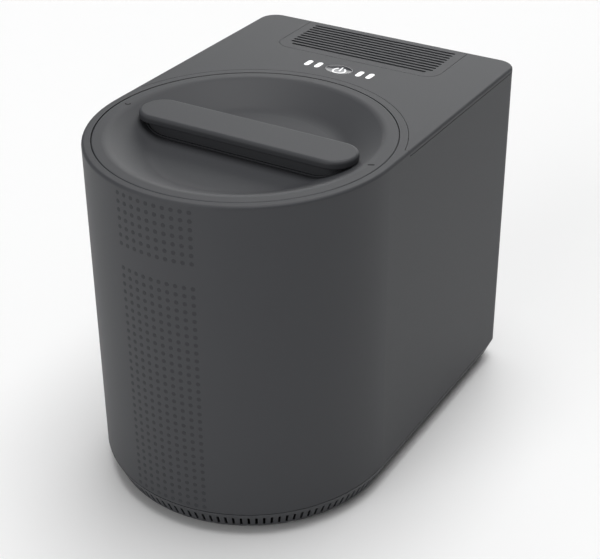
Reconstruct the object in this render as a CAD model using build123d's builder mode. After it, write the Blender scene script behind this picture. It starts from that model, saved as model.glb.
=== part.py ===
from build123d import *
import os
from math import acos, asin, atan2, cos, degrees, pi, radians, sin, sqrt, tan

os.makedirs("parts", exist_ok=True)

# Countertop food waste composter.  Millimetres, +Z up, +Y to the rear.
# The origin is on the floor, under the middle of the body's width and depth.

# ---------------------------------------------------------------- body
WIDTH = 270.0            # across the straight sides
DEPTH = 388.0            # front of the round nose to the rear face
HEIGHT = 318.0           # floor to the flat top
WALL = 3.0               # moulded shell wall
TOP_PLATE = 3.0          # shell's top rim round the lid
REAR_CORNER = 17.5       # radius of the two upright rear corners
TOP_ROUND = 2.5          # radius along the top edge
SHADOW_LINE = 0.6        # height and depth of the groove at each parting line
FIT = 0.3                # gap between neighbours that move past each other

# ---------------------------------------------------------------- base
FOOT_RISE = 4.8          # floor to the underside of the base tray
BASE_TOP = 23.3          # parting line between base tray and shell
BASE_INSET = 8.0         # how far the base draws in at its lower edge
TRAY_FLOOR = 2.4
VENT_COUNT = 62          # intake slots round the nose
VENT_WIDTH = 2.2
VENT_HEIGHT = 9.8
FOOT_RADIUS = 10.0
FOOT_INSET = 32.0        # body's side to the middle of a foot
FOOT_SETBACK = 42.0      # rear face to the middle of a rear foot
BOSS_RADIUS = 5.0
BOSS_INSET = 18.0        # body's side to the middle of a screw boss
BOSS_SETBACKS = (29.0, 134.0)
PILLAR_INSET = 23.0      # body's side to the middle of a chassis pillar
SCREW_RADIUS = 2.0       # M4 shank
SCREW_HEAD = 3.8

# ---------------------------------------------------------------- lid
LID_BORDER = 8.0         # shell's rim outside the lid
LID_GAP = 0.5            # seam round the lid
RING_STEP = 0.6          # the seam behind the lid's ring, inside the nose's radius
JOG = 34.5               # where that seam turns out to the side, behind the lid axis
LID_SKIN = 3.0
LID_EDGE_ROUND = 1.2
DISH_BORDER = 8.5        # flat border round the dish
DISH_DEPTH = 16.5
DISH_SLOPE = 25.0        # degrees
DISH_SHOULDER = 14.0     # radius at the top of the slope
DISH_SWEEP = 30.0        # radius at its foot
SKIRT_INSET = 7.0        # lid's edge to the outside of its skirt
SKIRT_WALL = 3.5
SKIRT_DEPTH = 28.0       # below the top face
LUG_COUNT = 3
LUG_WIDTH = 18.0         # degrees
LUG_HEIGHT = 6.0
LUG_REACH = 5.4          # beyond the skirt
LUG_PLAY = 1.0           # above and below a lug in its channel
ENTRY_WIDTH = 26.0       # degrees, gap in the collar's land for a lug
LAND_HEIGHT = 5.0
HANDLE_INSET = 14.0      # dish's edge to the bar's ends
HANDLE_WIDTH = 40.5
HANDLE_THICK = 7.2
HANDLE_RISE = 2.4        # handle top above the body's top
HANDLE_CORNER = 20.0
HANDLE_ROUND = 3.0       # along its upper edge
HANDLE_ARRIS = 1.5       # along its lower edge
HANDLE_SKIN = 2.5        # left above the screws
HANDLE_SCREWS = 60.0     # pitch of the three screws up into the bar
PEDESTAL_INSET = 8.0     # bar's ends to the pedestal's ends
PEDESTAL_WIDTH = 28.0
BEAD_WIDTH = 1.8         # of the step round the pedestal's foot
BEAD_HEIGHT = 1.2
POCKET_INSET = 20.0      # pedestal's ends to the ends of the hollow under it
SWIVEL_HEIGHT = 13.0     # of the ring under the dish

# ---------------------------------------------------------------- rear cover
COVER_SKIRT = 4.7        # depth of the cover's edge on the sides
COVER_PLATE = 2.5
SEAM = 0.4               # seam round covers
PANEL_WIDTH = 170.0      # opening for the filter cover
PANEL_DEPTH = 73.6       # from the rear face forwards
PANEL_CORNER = 15.0
LEDGE = 4.2              # shelf under the panel's edge
SLOT_PITCH = 5.75
SLOT_WIDTH = 3.0
SLOT_BORDER = 9.5        # ends of the slots to the panel's sides
SLOT_INSET = 10.7        # rear face to the middle of the last slot
SLOT_MARGIN = 5.0        # at least this much plain panel in front of the first slot
SLOT_FIELD_CORNER = 10.0
CONTROL_SETBACK = 23.4   # filter cover's front edge to the middle of the button row
BUTTON_LENGTH = 27.0
BUTTON_WIDTH = 19.0
BUTTON_DISH = 1.6
BUTTON_TRAVEL = 0.8
LAMP_LENGTH = 12.4
LAMP_WIDTH = 5.2
LAMP_SPREAD = (21.5, 32.1)

# ---------------------------------------------------------------- bucket and its well
WELL_INSET = 8.0         # lid's skirt to the inside of the steel well
BUCKET_ROOM = 10.5       # well to the outside of the bucket's rim
BUCKET_DRAFT = 2.5       # smaller at the bottom by this radius
BUCKET_WALL = 3.0
BUCKET_FLOOR = 4.0
BUCKET_LIFT = 18.0       # bucket's underside above the chassis plate
RIM_DROP = 23.5          # bucket's rim below the swivel ring
RIM_WIDTH = 3.5          # flange outside the bucket's wall
WELL_WALL = 1.2
WRAP_THICK = 6.0         # insulation round the well
HEATER_INSET = 3.0       # inside the bucket's foot
HEATER_THICK = 10.0
HEATER_BORE = 26.0
BAIL_WIRE = 2.0          # radius of the carrying wire
BAIL_ROOM = 2.5          # rim's flange to the middle of the wire
SPINDLE_RADIUS = 6.0
BUSH_WALL = 3.5
RUNNING = 0.04           # radial clearance of a shaft in its bearing

# ---------------------------------------------------------------- drive
WHEEL_TEETH = 65         # output wheel
WHEEL_MODULE = 2.25
IDLER_TEETH = 51
IDLER_MODULE = 1.75
PINION_TEETH = 17
WHEEL_FACE = 12.0
IDLER_FACE = 10.0
BACKLASH = 0.3           # taken off each tooth at the pitch circle
GEARCASE_WALL = 3.0
GEARCASE_LEGS = 4.8      # tray's floor to the underside of the gearcase
SHAFT_RADIUS = 7.0
IDLER_SHAFT_RADIUS = 5.0
MOTOR_SHAFT_RADIUS = 4.0
MOTOR_RADIUS = 31.0
MOTOR_HEIGHT = 84.0
CHASSIS_RISE = 8.0       # gearcase's top to the chassis plate's top
CHASSIS_THICK = 2.0
CHASSIS_SCREW = 12.0     # length of screw in a pillar
COUPLING_RADIUS = 16.0
DOG_LENGTH = 20.0
DOG_WIDTH = 6.0
DOG_PLAY = 0.6

# ---------------------------------------------------------------- air path
BAY_INSET = 5.0          # filter cover's sides to the bay's outside
BAY_SETBACK = 5.1        # filter cover's front edge to the bay's front wall
BAY_WALL = 2.0
FILTER_HEIGHT = 80.0
FILTER_PLAY = 1.0
DUCT_DEPTH = 20.0
DUCT_HEIGHT = 24.0       # of the run under the bay
DUCT_WALL = 2.0
BLOWER_SETBACK = 86.0    # rear face to the blower's axis
BLOWER_RADIUS = 45.0
BLOWER_HEIGHT = 38.0
IMPELLER_RADIUS = 36.0
IMPELLER_BLADES = 16

# ---------------------------------------------------------------- worked out
HALF_WIDTH = WIDTH / 2
REAR = DEPTH / 2
LID_Y = -REAR + HALF_WIDTH
JOG_Y = LID_Y + JOG
LID_RADIUS = HALF_WIDTH - LID_BORDER
RING_RADIUS = HALF_WIDTH - RING_STEP
SKIRT_RADIUS = LID_RADIUS - SKIRT_INSET
DISH_RADIUS = LID_RADIUS - DISH_BORDER
HANDLE_LENGTH = 2 * (DISH_RADIUS - HANDLE_INSET)
PEDESTAL_LENGTH = HANDLE_LENGTH - 2 * PEDESTAL_INSET
COVER_LINE = HEIGHT - COVER_SKIRT
PANEL_FRONT = REAR - PANEL_DEPTH
CONTROL_Y = PANEL_FRONT - CONTROL_SETBACK
SLOT_LENGTH = PANEL_WIDTH - 2 * SLOT_BORDER
SLOT_COUNT = int((PANEL_DEPTH - SLOT_INSET - SLOT_MARGIN) / SLOT_PITCH)
TRAY_TOP = FOOT_RISE + TRAY_FLOOR
RIM_UNDER = HEIGHT - TOP_PLATE
DISH_FLOOR = HEIGHT - DISH_DEPTH
SKIRT_FOOT = HEIGHT - SKIRT_DEPTH
LUG_FOOT = SKIRT_FOOT + LUG_PLAY
LAND_FOOT = LUG_FOOT + LUG_HEIGHT + LUG_PLAY
LUG_RADIUS = SKIRT_RADIUS + LUG_REACH
COLLAR_BORE = LUG_RADIUS + 0.8
COLLAR_RADIUS = COLLAR_BORE + 2.8
COLLAR_FLOOR = SKIRT_FOOT - 6.8          # underside of the collar, on the well's flange
WELL_RADIUS = SKIRT_RADIUS - WELL_INSET
WELL_OUTSIDE = WELL_RADIUS + WELL_WALL
WELL_FLANGE = WELL_OUTSIDE + 8.0
BUCKET_RADIUS = WELL_RADIUS - BUCKET_ROOM
RIM_FLANGE = BUCKET_RADIUS + RIM_WIDTH
BAIL_RADIUS = RIM_FLANGE + BAIL_ROOM
HEATER_RADIUS = BUCKET_RADIUS - BUCKET_DRAFT - HEATER_INSET
SWIVEL_FOOT = DISH_FLOOR - LID_SKIN - SWIVEL_HEIGHT
BUCKET_RIM = SWIVEL_FOOT - RIM_DROP
WHEEL_PITCH = WHEEL_TEETH * WHEEL_MODULE / 2
IDLER_Y = LID_Y + (WHEEL_TEETH + PINION_TEETH) * WHEEL_MODULE / 2
MOTOR_Y = IDLER_Y + (IDLER_TEETH + PINION_TEETH) * IDLER_MODULE / 2
GEARCASE_BASE = TRAY_TOP + GEARCASE_LEGS
WHEEL_FOOT = GEARCASE_BASE + GEARCASE_WALL + 6.0
GEARCASE_SPLIT = WHEEL_FOOT + WHEEL_FACE + 1.0
IDLER_FOOT = GEARCASE_SPLIT + 2.0
GEARCASE_TOP = IDLER_FOOT + IDLER_FACE + 5.0 + GEARCASE_WALL
CHASSIS_TOP = GEARCASE_TOP + CHASSIS_RISE
BUCKET_BASE = CHASSIS_TOP + BUCKET_LIFT
HEATER_TOP = BUCKET_BASE - FIT
COUPLING_FOOT = GEARCASE_TOP + 1.0
COUPLING_TOP = CHASSIS_TOP + 6.0
SOCKET_FLOOR = COUPLING_FOOT + 2.2
SEAL_SEAT = COUPLING_RADIUS + 3.0
SEAL_RADIUS = SEAL_SEAT + 5.0
SPINDLE_FOOT = SOCKET_FLOOR + 0.8
HUB_FOOT = BUCKET_BASE - 10.0
BUCKET_INSIDE = BUCKET_BASE + BUCKET_FLOOR
BUSH_RADIUS = SPINDLE_RADIUS + BUSH_WALL
BAIL_LEVEL = BUCKET_RIM - 3.0
BAY_WIDTH = PANEL_WIDTH - 2 * BAY_INSET
BAY_FRONT = PANEL_FRONT + BAY_SETBACK
BAY_DEPTH = REAR - WALL - 0.5 - BAY_FRONT
BAY_TOP = RIM_UNDER - 3.0
BAY_FLOOR = BAY_TOP - 7.0 - FILTER_HEIGHT
BLOWER_Y = REAR - BLOWER_SETBACK
BLOWER_TOP = BAY_FLOOR - DUCT_HEIGHT - 3.0
BLOWER_FOOT = BLOWER_TOP - BLOWER_HEIGHT
DUCT_FLOOR = BLOWER_TOP + 2.0
BOARD_TOP = HEIGHT - 13.4

LID_AXIS = Axis((0, LID_Y, 0), (0, 0, 1))
LID_SECTION = Plane(origin=(0, LID_Y, 0), x_dir=(1, 0, 0), z_dir=(0, -1, 0))


def level(z, y=0.0, x=0.0):
    """Horizontal sketch plane at height z, with its origin over (x, y)."""
    return Plane(origin=(x, y, z), x_dir=(1, 0, 0), z_dir=(0, 0, 1))


def lid_level(z):
    """Horizontal sketch plane at height z, centred on the lid's axis."""
    return level(z, LID_Y)


def body_outline(inset=0.0):
    """The body seen from above: a half-round nose, straight sides, rounded rear corners."""
    nose = HALF_WIDTH - inset
    rear = REAR - inset
    corner = max(REAR_CORNER - inset, 1.0)
    with BuildSketch() as outline:
        with BuildLine():
            CenterArc((0, LID_Y), nose, 180, 180)
            right = Line((nose, LID_Y), (nose, rear - corner))
            bend = JernArc(right @ 1, (0, 1), corner, 90)
            back = Line(bend @ 1, (-(nose - corner), rear))
            bend_left = JernArc(back @ 1, (-1, 0), corner, 90)
            Line(bend_left @ 1, (-nose, LID_Y))
        make_face()
    return outline.sketch


def band(outer_inset, inner_inset):
    """The strip between two inset body outlines."""
    with BuildSketch() as strip:
        add(body_outline(outer_inset))
        add(body_outline(inner_inset), mode=Mode.SUBTRACT)
    return strip.sketch


def behind_ring(gap=0.0):
    """Everything behind the lid's ring, wider than the body: the rear cover's territory."""
    front = JOG_Y + gap
    with BuildSketch() as region:
        with Locations((0, front)):
            Rectangle(2 * WIDTH, DEPTH, align=(Align.CENTER, Align.MIN))
        with Locations((0, LID_Y)):
            Circle(RING_RADIUS + gap, mode=Mode.SUBTRACT)
    return region.sketch


def panel_outline(shrink=0.0):
    """Filter cover's outline: rounded front corners, running out past the rear face."""
    half = PANEL_WIDTH / 2 - shrink
    front = PANEL_FRONT + shrink
    corner = PANEL_CORNER - shrink
    with BuildSketch() as outline:
        with BuildLine():
            left = Line((-half, REAR + WALL), (-half, front + corner))
            bend = JernArc(left @ 1, (0, -1), corner, 90)
            edge = Line(bend @ 1, (half - corner, front))
            bend_right = JernArc(edge @ 1, (1, 0), corner, 90)
            right = Line(bend_right @ 1, (half, REAR + WALL))
            Line(right @ 1, left @ 0)
        make_face()
    return outline.sketch


def sector(inner, outer, middle, width):
    """Piece of a ring about the origin; middle and width are angles in degrees."""
    start = middle - width / 2
    with BuildSketch() as piece:
        with BuildLine():
            inside = CenterArc((0, 0), inner, start, width)
            outside = CenterArc((0, 0), outer, start, width)
            Line(inside @ 0, outside @ 0)
            Line(inside @ 1, outside @ 1)
        make_face()
    return piece.sketch


def around_lid(radius, angles):
    """Points at the given angles round the lid's axis."""
    return [(radius * cos(radians(a)), LID_Y + radius * sin(radians(a))) for a in angles]


def involute(angle):
    return tan(angle) - angle


def gear_outline(teeth, module, bore, tooth_angle):
    """Spur gear with 20 degree teeth, one tooth centred on tooth_angle (degrees)."""
    pitch = teeth * module / 2
    base = pitch * cos(radians(20))
    root = pitch - 1.25 * module
    tip = pitch + 0.92 * module
    half_tooth = pi / (2 * teeth) - BACKLASH / (2 * pitch)
    flank = [max(root, base), pitch, tip]
    widths = [half_tooth + involute(radians(20)) - involute(acos(base / r)) for r in flank]
    flank = [root] + flank if root < base else flank
    widths = [widths[0]] + widths if root < base else widths
    points = []
    for tooth in range(teeth):
        middle = radians(tooth_angle) + 2 * pi * tooth / teeth
        rising = [(r, middle - w) for r, w in zip(flank, widths)]
        falling = [(r, middle + w) for r, w in zip(flank, widths)]
        points += [(r * cos(a), r * sin(a)) for r, a in rising + falling[::-1]]
    with BuildSketch() as outline:
        with BuildLine():
            Polyline(*points, close=True)
        make_face()
        Circle(bore, mode=Mode.SUBTRACT)
    return outline.sketch


BOSS_LINE = HALF_WIDTH - BOSS_INSET
SIDE_BOSSES = [(side * BOSS_LINE, REAR - y) for side in (-1, 1) for y in BOSS_SETBACKS]
NOSE_BOSSES = around_lid(BOSS_LINE, (-135, -45))
BASE_BOSSES = SIDE_BOSSES + NOSE_BOSSES
PILLARS = around_lid(HALF_WIDTH - PILLAR_INSET, (-160, -90, -20, 20, 160))
REAR_FEET = [(side * (HALF_WIDTH - FOOT_INSET), REAR - FOOT_SETBACK) for side in (-1, 1)]
FEET = around_lid(HALF_WIDTH - FOOT_INSET, (-144, -36)) + REAR_FEET


# ================================================================ casing
# Outer shell: one moulded wall round the body, with the rim that frames the lid.
SHELL_BOSS_TOP = BASE_TOP + 30.0
INLET_X = HALF_WIDTH - 57.0
INLET_Z = 50.0
INLET_LENGTH = 50.0      # flange
INLET_WIDTH = 24.0
INLET_BODY = (28.0, 20.0)
INLET_SUNK = 2.0
INLET_SCREWS = 40.0      # between the two screw holes
INLET_SCREW = 1.5        # their radius
INLET_FACE = Plane(origin=(INLET_X, REAR, INLET_Z), x_dir=(-1, 0, 0), z_dir=(0, 1, 0))

with BuildPart() as outer_shell:
    with BuildSketch(level(BASE_TOP)):
        add(body_outline())
    extrude(amount=HEIGHT - BASE_TOP)
    fillet(outer_shell.edges().group_by(Axis.Z)[-1], TOP_ROUND)
    with BuildSketch(level(BASE_TOP)):
        add(body_outline(WALL))
    extrude(amount=RIM_UNDER - BASE_TOP, mode=Mode.SUBTRACT)
    with BuildSketch(level(COVER_LINE)):
        add(behind_ring())
    extrude(amount=COVER_SKIRT + 1, mode=Mode.SUBTRACT)
    with BuildSketch(lid_level(RIM_UNDER - 1)):
        Circle(LID_RADIUS + LID_GAP)
    extrude(amount=TOP_PLATE + 2, mode=Mode.SUBTRACT)
    # screw bosses, tied to the wall by ribs
    with BuildSketch(level(BASE_TOP)):
        for x, y in SIDE_BOSSES:
            with Locations((x, y)):
                Rectangle(17.0, 2.4, rotation=0 if x > 0 else 180, align=(Align.MIN, Align.CENTER))
        for x, y in NOSE_BOSSES:
            with Locations((x, y)):
                Rectangle(17.0, 2.4, rotation=degrees(atan2(y - LID_Y, x)), align=(Align.MIN, Align.CENTER))
        with Locations(*BASE_BOSSES):
            Circle(BOSS_RADIUS)
    extrude(amount=SHELL_BOSS_TOP - BASE_TOP)
    with BuildSketch(level(BASE_TOP)):
        with Locations(*BASE_BOSSES):
            Circle(SCREW_RADIUS)
    extrude(amount=SHELL_BOSS_TOP - BASE_TOP, mode=Mode.SUBTRACT)
    # thickened seat for the power inlet, sunk so that its flange sits flush
    with BuildSketch(INLET_FACE.offset(-WALL)):
        Rectangle(INLET_LENGTH + 6, INLET_WIDTH + 6)
    extrude(amount=-INLET_SUNK)
    with BuildSketch(INLET_FACE):
        RectangleRounded(INLET_LENGTH + SEAM, INLET_WIDTH + SEAM, 4.0)
    extrude(amount=-INLET_SUNK, mode=Mode.SUBTRACT)
    with BuildSketch(INLET_FACE):
        Rectangle(INLET_BODY[0] + SEAM, INLET_BODY[1] + SEAM)
        with GridLocations(INLET_SCREWS, 1, 2, 1):
            Circle(INLET_SCREW + 0.05)
    extrude(amount=-(WALL + INLET_SUNK + 1), mode=Mode.SUBTRACT)

outer_shell.part.label = "outer_shell"
export_step(outer_shell.part, "parts/outer_shell.step")


def top_skin():
    """The closed top of the body down to the cover line, hollow below, with its shadow line."""
    with BuildPart() as skin:
        with BuildSketch(level(COVER_LINE + SHADOW_LINE)):
            add(body_outline())
        extrude(amount=COVER_SKIRT - SHADOW_LINE)
        fillet(skin.edges().group_by(Axis.Z)[-1], TOP_ROUND)
        with BuildSketch(level(COVER_LINE)):
            add(body_outline(SHADOW_LINE))
        extrude(amount=SHADOW_LINE)
        with BuildSketch(level(COVER_LINE)):
            add(body_outline(WALL))
        extrude(amount=COVER_SKIRT - COVER_PLATE, mode=Mode.SUBTRACT)
    return skin.part


# Rear cover: closes the top behind the lid, holds the controls and frames the filter cover.
LAMPS = [(side * x, CONTROL_Y) for x in LAMP_SPREAD for side in (-1, 1)]
BOARD_POSTS = [(side * 46.0, CONTROL_Y + step) for side in (-1, 1) for step in (-11.0, 11.0)]
PLATE_UNDER = HEIGHT - COVER_PLATE

with BuildPart() as rear_cover:
    add(top_skin())
    with BuildSketch(level(COVER_LINE)):
        add(behind_ring(SEAM))
    extrude(amount=COVER_SKIRT, mode=Mode.INTERSECT)
    # lip under the seam with the lid's ring, in whole degrees, 2 clear of each jog
    with BuildSketch(level(COVER_LINE)):
        with Locations((0, LID_Y)):
            lip_sweep = int(176 - 2 * degrees(asin(JOG / RING_RADIUS)))
            add(sector(RING_RADIUS + SEAM, RING_RADIUS + 2.5, 90, lip_sweep))
    extrude(amount=PLATE_UNDER - COVER_LINE)
    # register that drops inside the shell's wall
    with BuildSketch(level(COVER_LINE - 5)):
        add(band(WALL + 0.2, WALL + 2.2))
        with Locations((0, JOG_Y + 12)):
            Rectangle(2 * WIDTH, DEPTH, align=(Align.CENTER, Align.MAX), mode=Mode.SUBTRACT)
        with Locations((0, REAR)):
            Rectangle(PANEL_WIDTH + 8, 40, mode=Mode.SUBTRACT)
    extrude(amount=PLATE_UNDER - COVER_LINE + 5)
    # shelf round the filter cover's opening
    with BuildSketch(level(PLATE_UNDER - 3)):
        add(panel_outline(-3.0))
        add(panel_outline(LEDGE), mode=Mode.SUBTRACT)
        add(body_outline(WALL + 0.2), mode=Mode.INTERSECT)
    extrude(amount=3)
    with BuildSketch(level(PLATE_UNDER - FIT)):
        add(panel_outline())
    extrude(amount=COVER_PLATE + FIT + 1, mode=Mode.SUBTRACT)
    with BuildSketch(level(COVER_LINE)):
        add(panel_outline())
        add(body_outline(WALL + 0.2), mode=Mode.SUBTRACT)
    extrude(amount=COVER_SKIRT + 1, mode=Mode.SUBTRACT)
    # button well and lamp windows
    with BuildSketch(level(PLATE_UNDER - 3, CONTROL_Y)):
        Ellipse(BUTTON_LENGTH / 2 + SEAM + 1.6, BUTTON_WIDTH / 2 + SEAM + 1.6)
    extrude(amount=3)
    with BuildSketch(level(PLATE_UNDER - 4, CONTROL_Y)):
        Ellipse(BUTTON_LENGTH / 2 + SEAM, BUTTON_WIDTH / 2 + SEAM)
    extrude(amount=COVER_PLATE + 5, mode=Mode.SUBTRACT)
    with BuildSketch(level(PLATE_UNDER - 1)):
        with Locations(*LAMPS):
            SlotOverall(LAMP_LENGTH, LAMP_WIDTH, rotation=90)
    extrude(amount=COVER_PLATE + 2, mode=Mode.SUBTRACT)
    # posts for the control board
    with BuildSketch(level(BOARD_TOP)):
        with Locations(*BOARD_POSTS):
            Circle(3.5)
            Circle(1.25, mode=Mode.SUBTRACT)
    extrude(amount=PLATE_UNDER - BOARD_TOP)

rear_cover.part.label = "rear_cover"
export_step(rear_cover.part, "parts/rear_cover.step")

# Filter cover: slotted panel that lifts off over the filters.
SLOT_FRONT = REAR - SLOT_INSET - (SLOT_COUNT - 1) * SLOT_PITCH


def slot_length(row):
    """Slots near the front are shorter, following the rounded corners of their field."""
    depth = row * SLOT_PITCH + SLOT_WIDTH / 2
    if depth >= SLOT_FIELD_CORNER:
        return SLOT_LENGTH
    bite = SLOT_FIELD_CORNER - sqrt(SLOT_FIELD_CORNER**2 - (SLOT_FIELD_CORNER - depth) ** 2)
    return SLOT_LENGTH - 2 * bite


with BuildPart() as filter_cover:
    add(top_skin())
    with BuildSketch(level(COVER_LINE)):
        add(panel_outline(SEAM))
    extrude(amount=COVER_SKIRT, mode=Mode.INTERSECT)
    with BuildSketch(level(PLATE_UNDER)):
        for row in range(SLOT_COUNT):
            with Locations((0, SLOT_FRONT + row * SLOT_PITCH)):
                SlotOverall(slot_length(row), SLOT_WIDTH)
    extrude(amount=COVER_PLATE, mode=Mode.SUBTRACT)
    # stiffening rib under the bars, and two locating tabs inside the shelf
    with BuildSketch(level(PLATE_UNDER - 2)):
        for x in (-SLOT_LENGTH / 6, SLOT_LENGTH / 6):
            with Locations((x, SLOT_FRONT - SLOT_PITCH / 2)):
                Rectangle(1.6, SLOT_COUNT * SLOT_PITCH, align=(Align.CENTER, Align.MIN))
        for side in (-1, 1):
            with Locations((side * (PANEL_WIDTH / 2 - LEDGE - 1.4), REAR - PANEL_DEPTH / 2)):
                Rectangle(1.6, 16.0)
    extrude(amount=2)

filter_cover.part.label = "filter_cover"
export_step(filter_cover.part, "parts/filter_cover.step")

# Base tray: floor, drawn-in skirt with intake vents, screw and chassis pillars.
VENT_FOOT = TRAY_TOP + 0.3
with BuildPart() as base_tray:
    with BuildSketch(level(FOOT_RISE)):
        add(body_outline(BASE_INSET))
    with BuildSketch(level(BASE_TOP - SHADOW_LINE)):
        add(body_outline())
    loft(ruled=True)
    with BuildSketch(level(BASE_TOP - SHADOW_LINE)):
        add(body_outline(SHADOW_LINE))
    extrude(amount=SHADOW_LINE)
    with BuildSketch(level(TRAY_TOP)):
        add(body_outline(BASE_INSET + WALL - BASE_INSET * TRAY_FLOOR / (BASE_TOP - FOOT_RISE)))
    with BuildSketch(level(BASE_TOP)):
        add(body_outline(WALL))
    loft(ruled=True, mode=Mode.SUBTRACT)
    with BuildSketch(level(TRAY_TOP)):
        with Locations(*BASE_BOSSES):
            Circle(BOSS_RADIUS)
    extrude(amount=BASE_TOP - TRAY_TOP)
    with BuildSketch(level(TRAY_TOP)):
        with Locations(*PILLARS):
            Circle(BOSS_RADIUS)
    extrude(amount=CHASSIS_TOP - CHASSIS_THICK - TRAY_TOP)
    with BuildSketch(level(CHASSIS_TOP - CHASSIS_THICK)):
        with Locations(*PILLARS):
            Circle(SCREW_RADIUS)
    extrude(amount=-CHASSIS_SCREW, mode=Mode.SUBTRACT)
    with BuildSketch(level(FOOT_RISE)):
        with Locations(*BASE_BOSSES):
            Circle(SCREW_RADIUS + 0.2)
    extrude(amount=BASE_TOP - FOOT_RISE, mode=Mode.SUBTRACT)
    with BuildSketch(level(FOOT_RISE)):
        with Locations(*BASE_BOSSES):
            Circle(SCREW_HEAD + 0.4)
    extrude(amount=SCREW_HEAD, mode=Mode.SUBTRACT)
    # intake vents round the nose
    step = 180 / VENT_COUNT
    with BuildSketch(Plane(origin=(0, LID_Y, VENT_FOOT), x_dir=(1, 0, 0), z_dir=(0, 0, 1))):
        for vent in range(VENT_COUNT):
            add(sector(HALF_WIDTH - BASE_INSET - WALL - 1, HALF_WIDTH + 1, 180 + step * (vent + 0.5),
                       degrees(VENT_WIDTH / (HALF_WIDTH - BASE_INSET / 2))))
    extrude(amount=VENT_HEIGHT, mode=Mode.SUBTRACT)

base_tray.part.label = "base_tray"
export_step(base_tray.part, "parts/base_tray.step")

# Feet: rubber pads stuck under the tray's floor.
with BuildPart() as feet:
    with BuildSketch(level(0)):
        with Locations(*FEET):
            Circle(FOOT_RADIUS)
    extrude(amount=FOOT_RISE)
    chamfer(feet.edges().group_by(Axis.Z)[0], 1.0)

feet.part.label = "feet"
export_step(feet.part, "parts/feet.step")

# Base screws: up through the tray's pillars into the shell's bosses.
with BuildPart() as base_screws:
    with BuildSketch(level(FOOT_RISE + SCREW_HEAD - 2.4)):
        with Locations(*BASE_BOSSES):
            Circle(SCREW_HEAD)
            RegularPolygon(1.7, 6, mode=Mode.SUBTRACT)
    extrude(amount=1.6)
    with BuildSketch(level(FOOT_RISE + SCREW_HEAD - 0.8)):
        with Locations(*BASE_BOSSES):
            Circle(SCREW_HEAD)
    extrude(amount=0.8)
    with BuildSketch(level(FOOT_RISE + SCREW_HEAD)):
        with Locations(*BASE_BOSSES):
            Circle(SCREW_RADIUS - 0.05)
    extrude(amount=SHELL_BOSS_TOP - 6 - FOOT_RISE - SCREW_HEAD)

base_screws.part.label = "base_screws"
export_step(base_screws.part, "parts/base_screws.step")

# ================================================================ lid
# Bayonet collar: the channel the lid's skirt drops into, with lands over the lugs.
LUG_ANGLES = [90 + 360 / LUG_COUNT * n for n in range(LUG_COUNT)]
LAND_ANGLES = [angle + 180 / LUG_COUNT for angle in LUG_ANGLES]
SPOUT_HALF = 32.0
SPOUT_FACE = COLLAR_RADIUS + 4.0    # lid axis to the flat face where the steam duct joins

with BuildPart() as lid_collar:
    with BuildSketch(lid_level(COLLAR_FLOOR)):
        Circle(COLLAR_RADIUS)
        Circle(WELL_OUTSIDE, mode=Mode.SUBTRACT)
    extrude(amount=3)
    with BuildSketch(lid_level(COLLAR_FLOOR)):
        Circle(COLLAR_RADIUS)
        Circle(COLLAR_BORE, mode=Mode.SUBTRACT)
    extrude(amount=RIM_UNDER - COLLAR_FLOOR)
    with BuildSketch(lid_level(RIM_UNDER - 3)):
        Circle(HALF_WIDTH - WALL - FIT)
        Circle(SKIRT_RADIUS + 1.2, mode=Mode.SUBTRACT)
        for angle in LUG_ANGLES:
            add(sector(SKIRT_RADIUS, COLLAR_BORE, angle, ENTRY_WIDTH), mode=Mode.SUBTRACT)
    extrude(amount=3)
    for angle in LAND_ANGLES:
        with BuildSketch(lid_level(LAND_FOOT)):
            add(sector(SKIRT_RADIUS + 0.8, COLLAR_BORE + 1, angle, 360 / LUG_COUNT - ENTRY_WIDTH))
        extrude(amount=LAND_HEIGHT)
    # vent spout towards the rear, open into the channel
    with BuildSketch(lid_level(COLLAR_FLOOR)):
        Rectangle(2 * SPOUT_HALF, SPOUT_FACE, align=(Align.CENTER, Align.MIN))
        Circle(COLLAR_RADIUS - 1, mode=Mode.SUBTRACT)
    extrude(amount=17)
    with BuildSketch(lid_level(COLLAR_FLOOR + 3)):
        with Locations((0, COLLAR_BORE - 8)):
            Rectangle(2 * SPOUT_HALF - 5, 30, align=(Align.CENTER, Align.MIN))
    extrude(amount=11, mode=Mode.SUBTRACT)

lid_collar.part.label = "lid_collar"
export_step(lid_collar.part, "parts/lid_collar.step")

# Lid dish: dished disc with the pedestal, the skirt and the bayonet lugs.
HANDLE_FOOT = HEIGHT + HANDLE_RISE - HANDLE_THICK
FLANGE_UNDER = RIM_UNDER + FIT
SWIVEL_OUTSIDE = 24.0


def dish_curve(drop=0.0):
    """Draws the dish's upper line, lowered by drop; gives its outer and inner ends."""
    slope = radians(DISH_SLOPE)

    def on_shoulder(angle):
        return DISH_RADIUS - DISH_SHOULDER * sin(angle), HEIGHT - DISH_SHOULDER * (1 - cos(angle)) - drop

    slope_foot = DISH_FLOOR + DISH_SWEEP * (1 - cos(slope)) - drop
    slope_run = (on_shoulder(slope)[1] - slope_foot) / tan(slope)
    floor_edge = on_shoulder(slope)[0] - slope_run - DISH_SWEEP * sin(slope)

    def on_sweep(angle):
        return floor_edge + DISH_SWEEP * sin(angle), DISH_FLOOR + DISH_SWEEP * (1 - cos(angle)) - drop

    shoulder = ThreePointArc(on_shoulder(0), on_shoulder(slope / 2), on_shoulder(slope))
    sweep = ThreePointArc(on_sweep(slope), on_sweep(slope / 2), on_sweep(0))
    Line(shoulder @ 1, sweep @ 0)
    return shoulder @ 0, sweep @ 1


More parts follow.
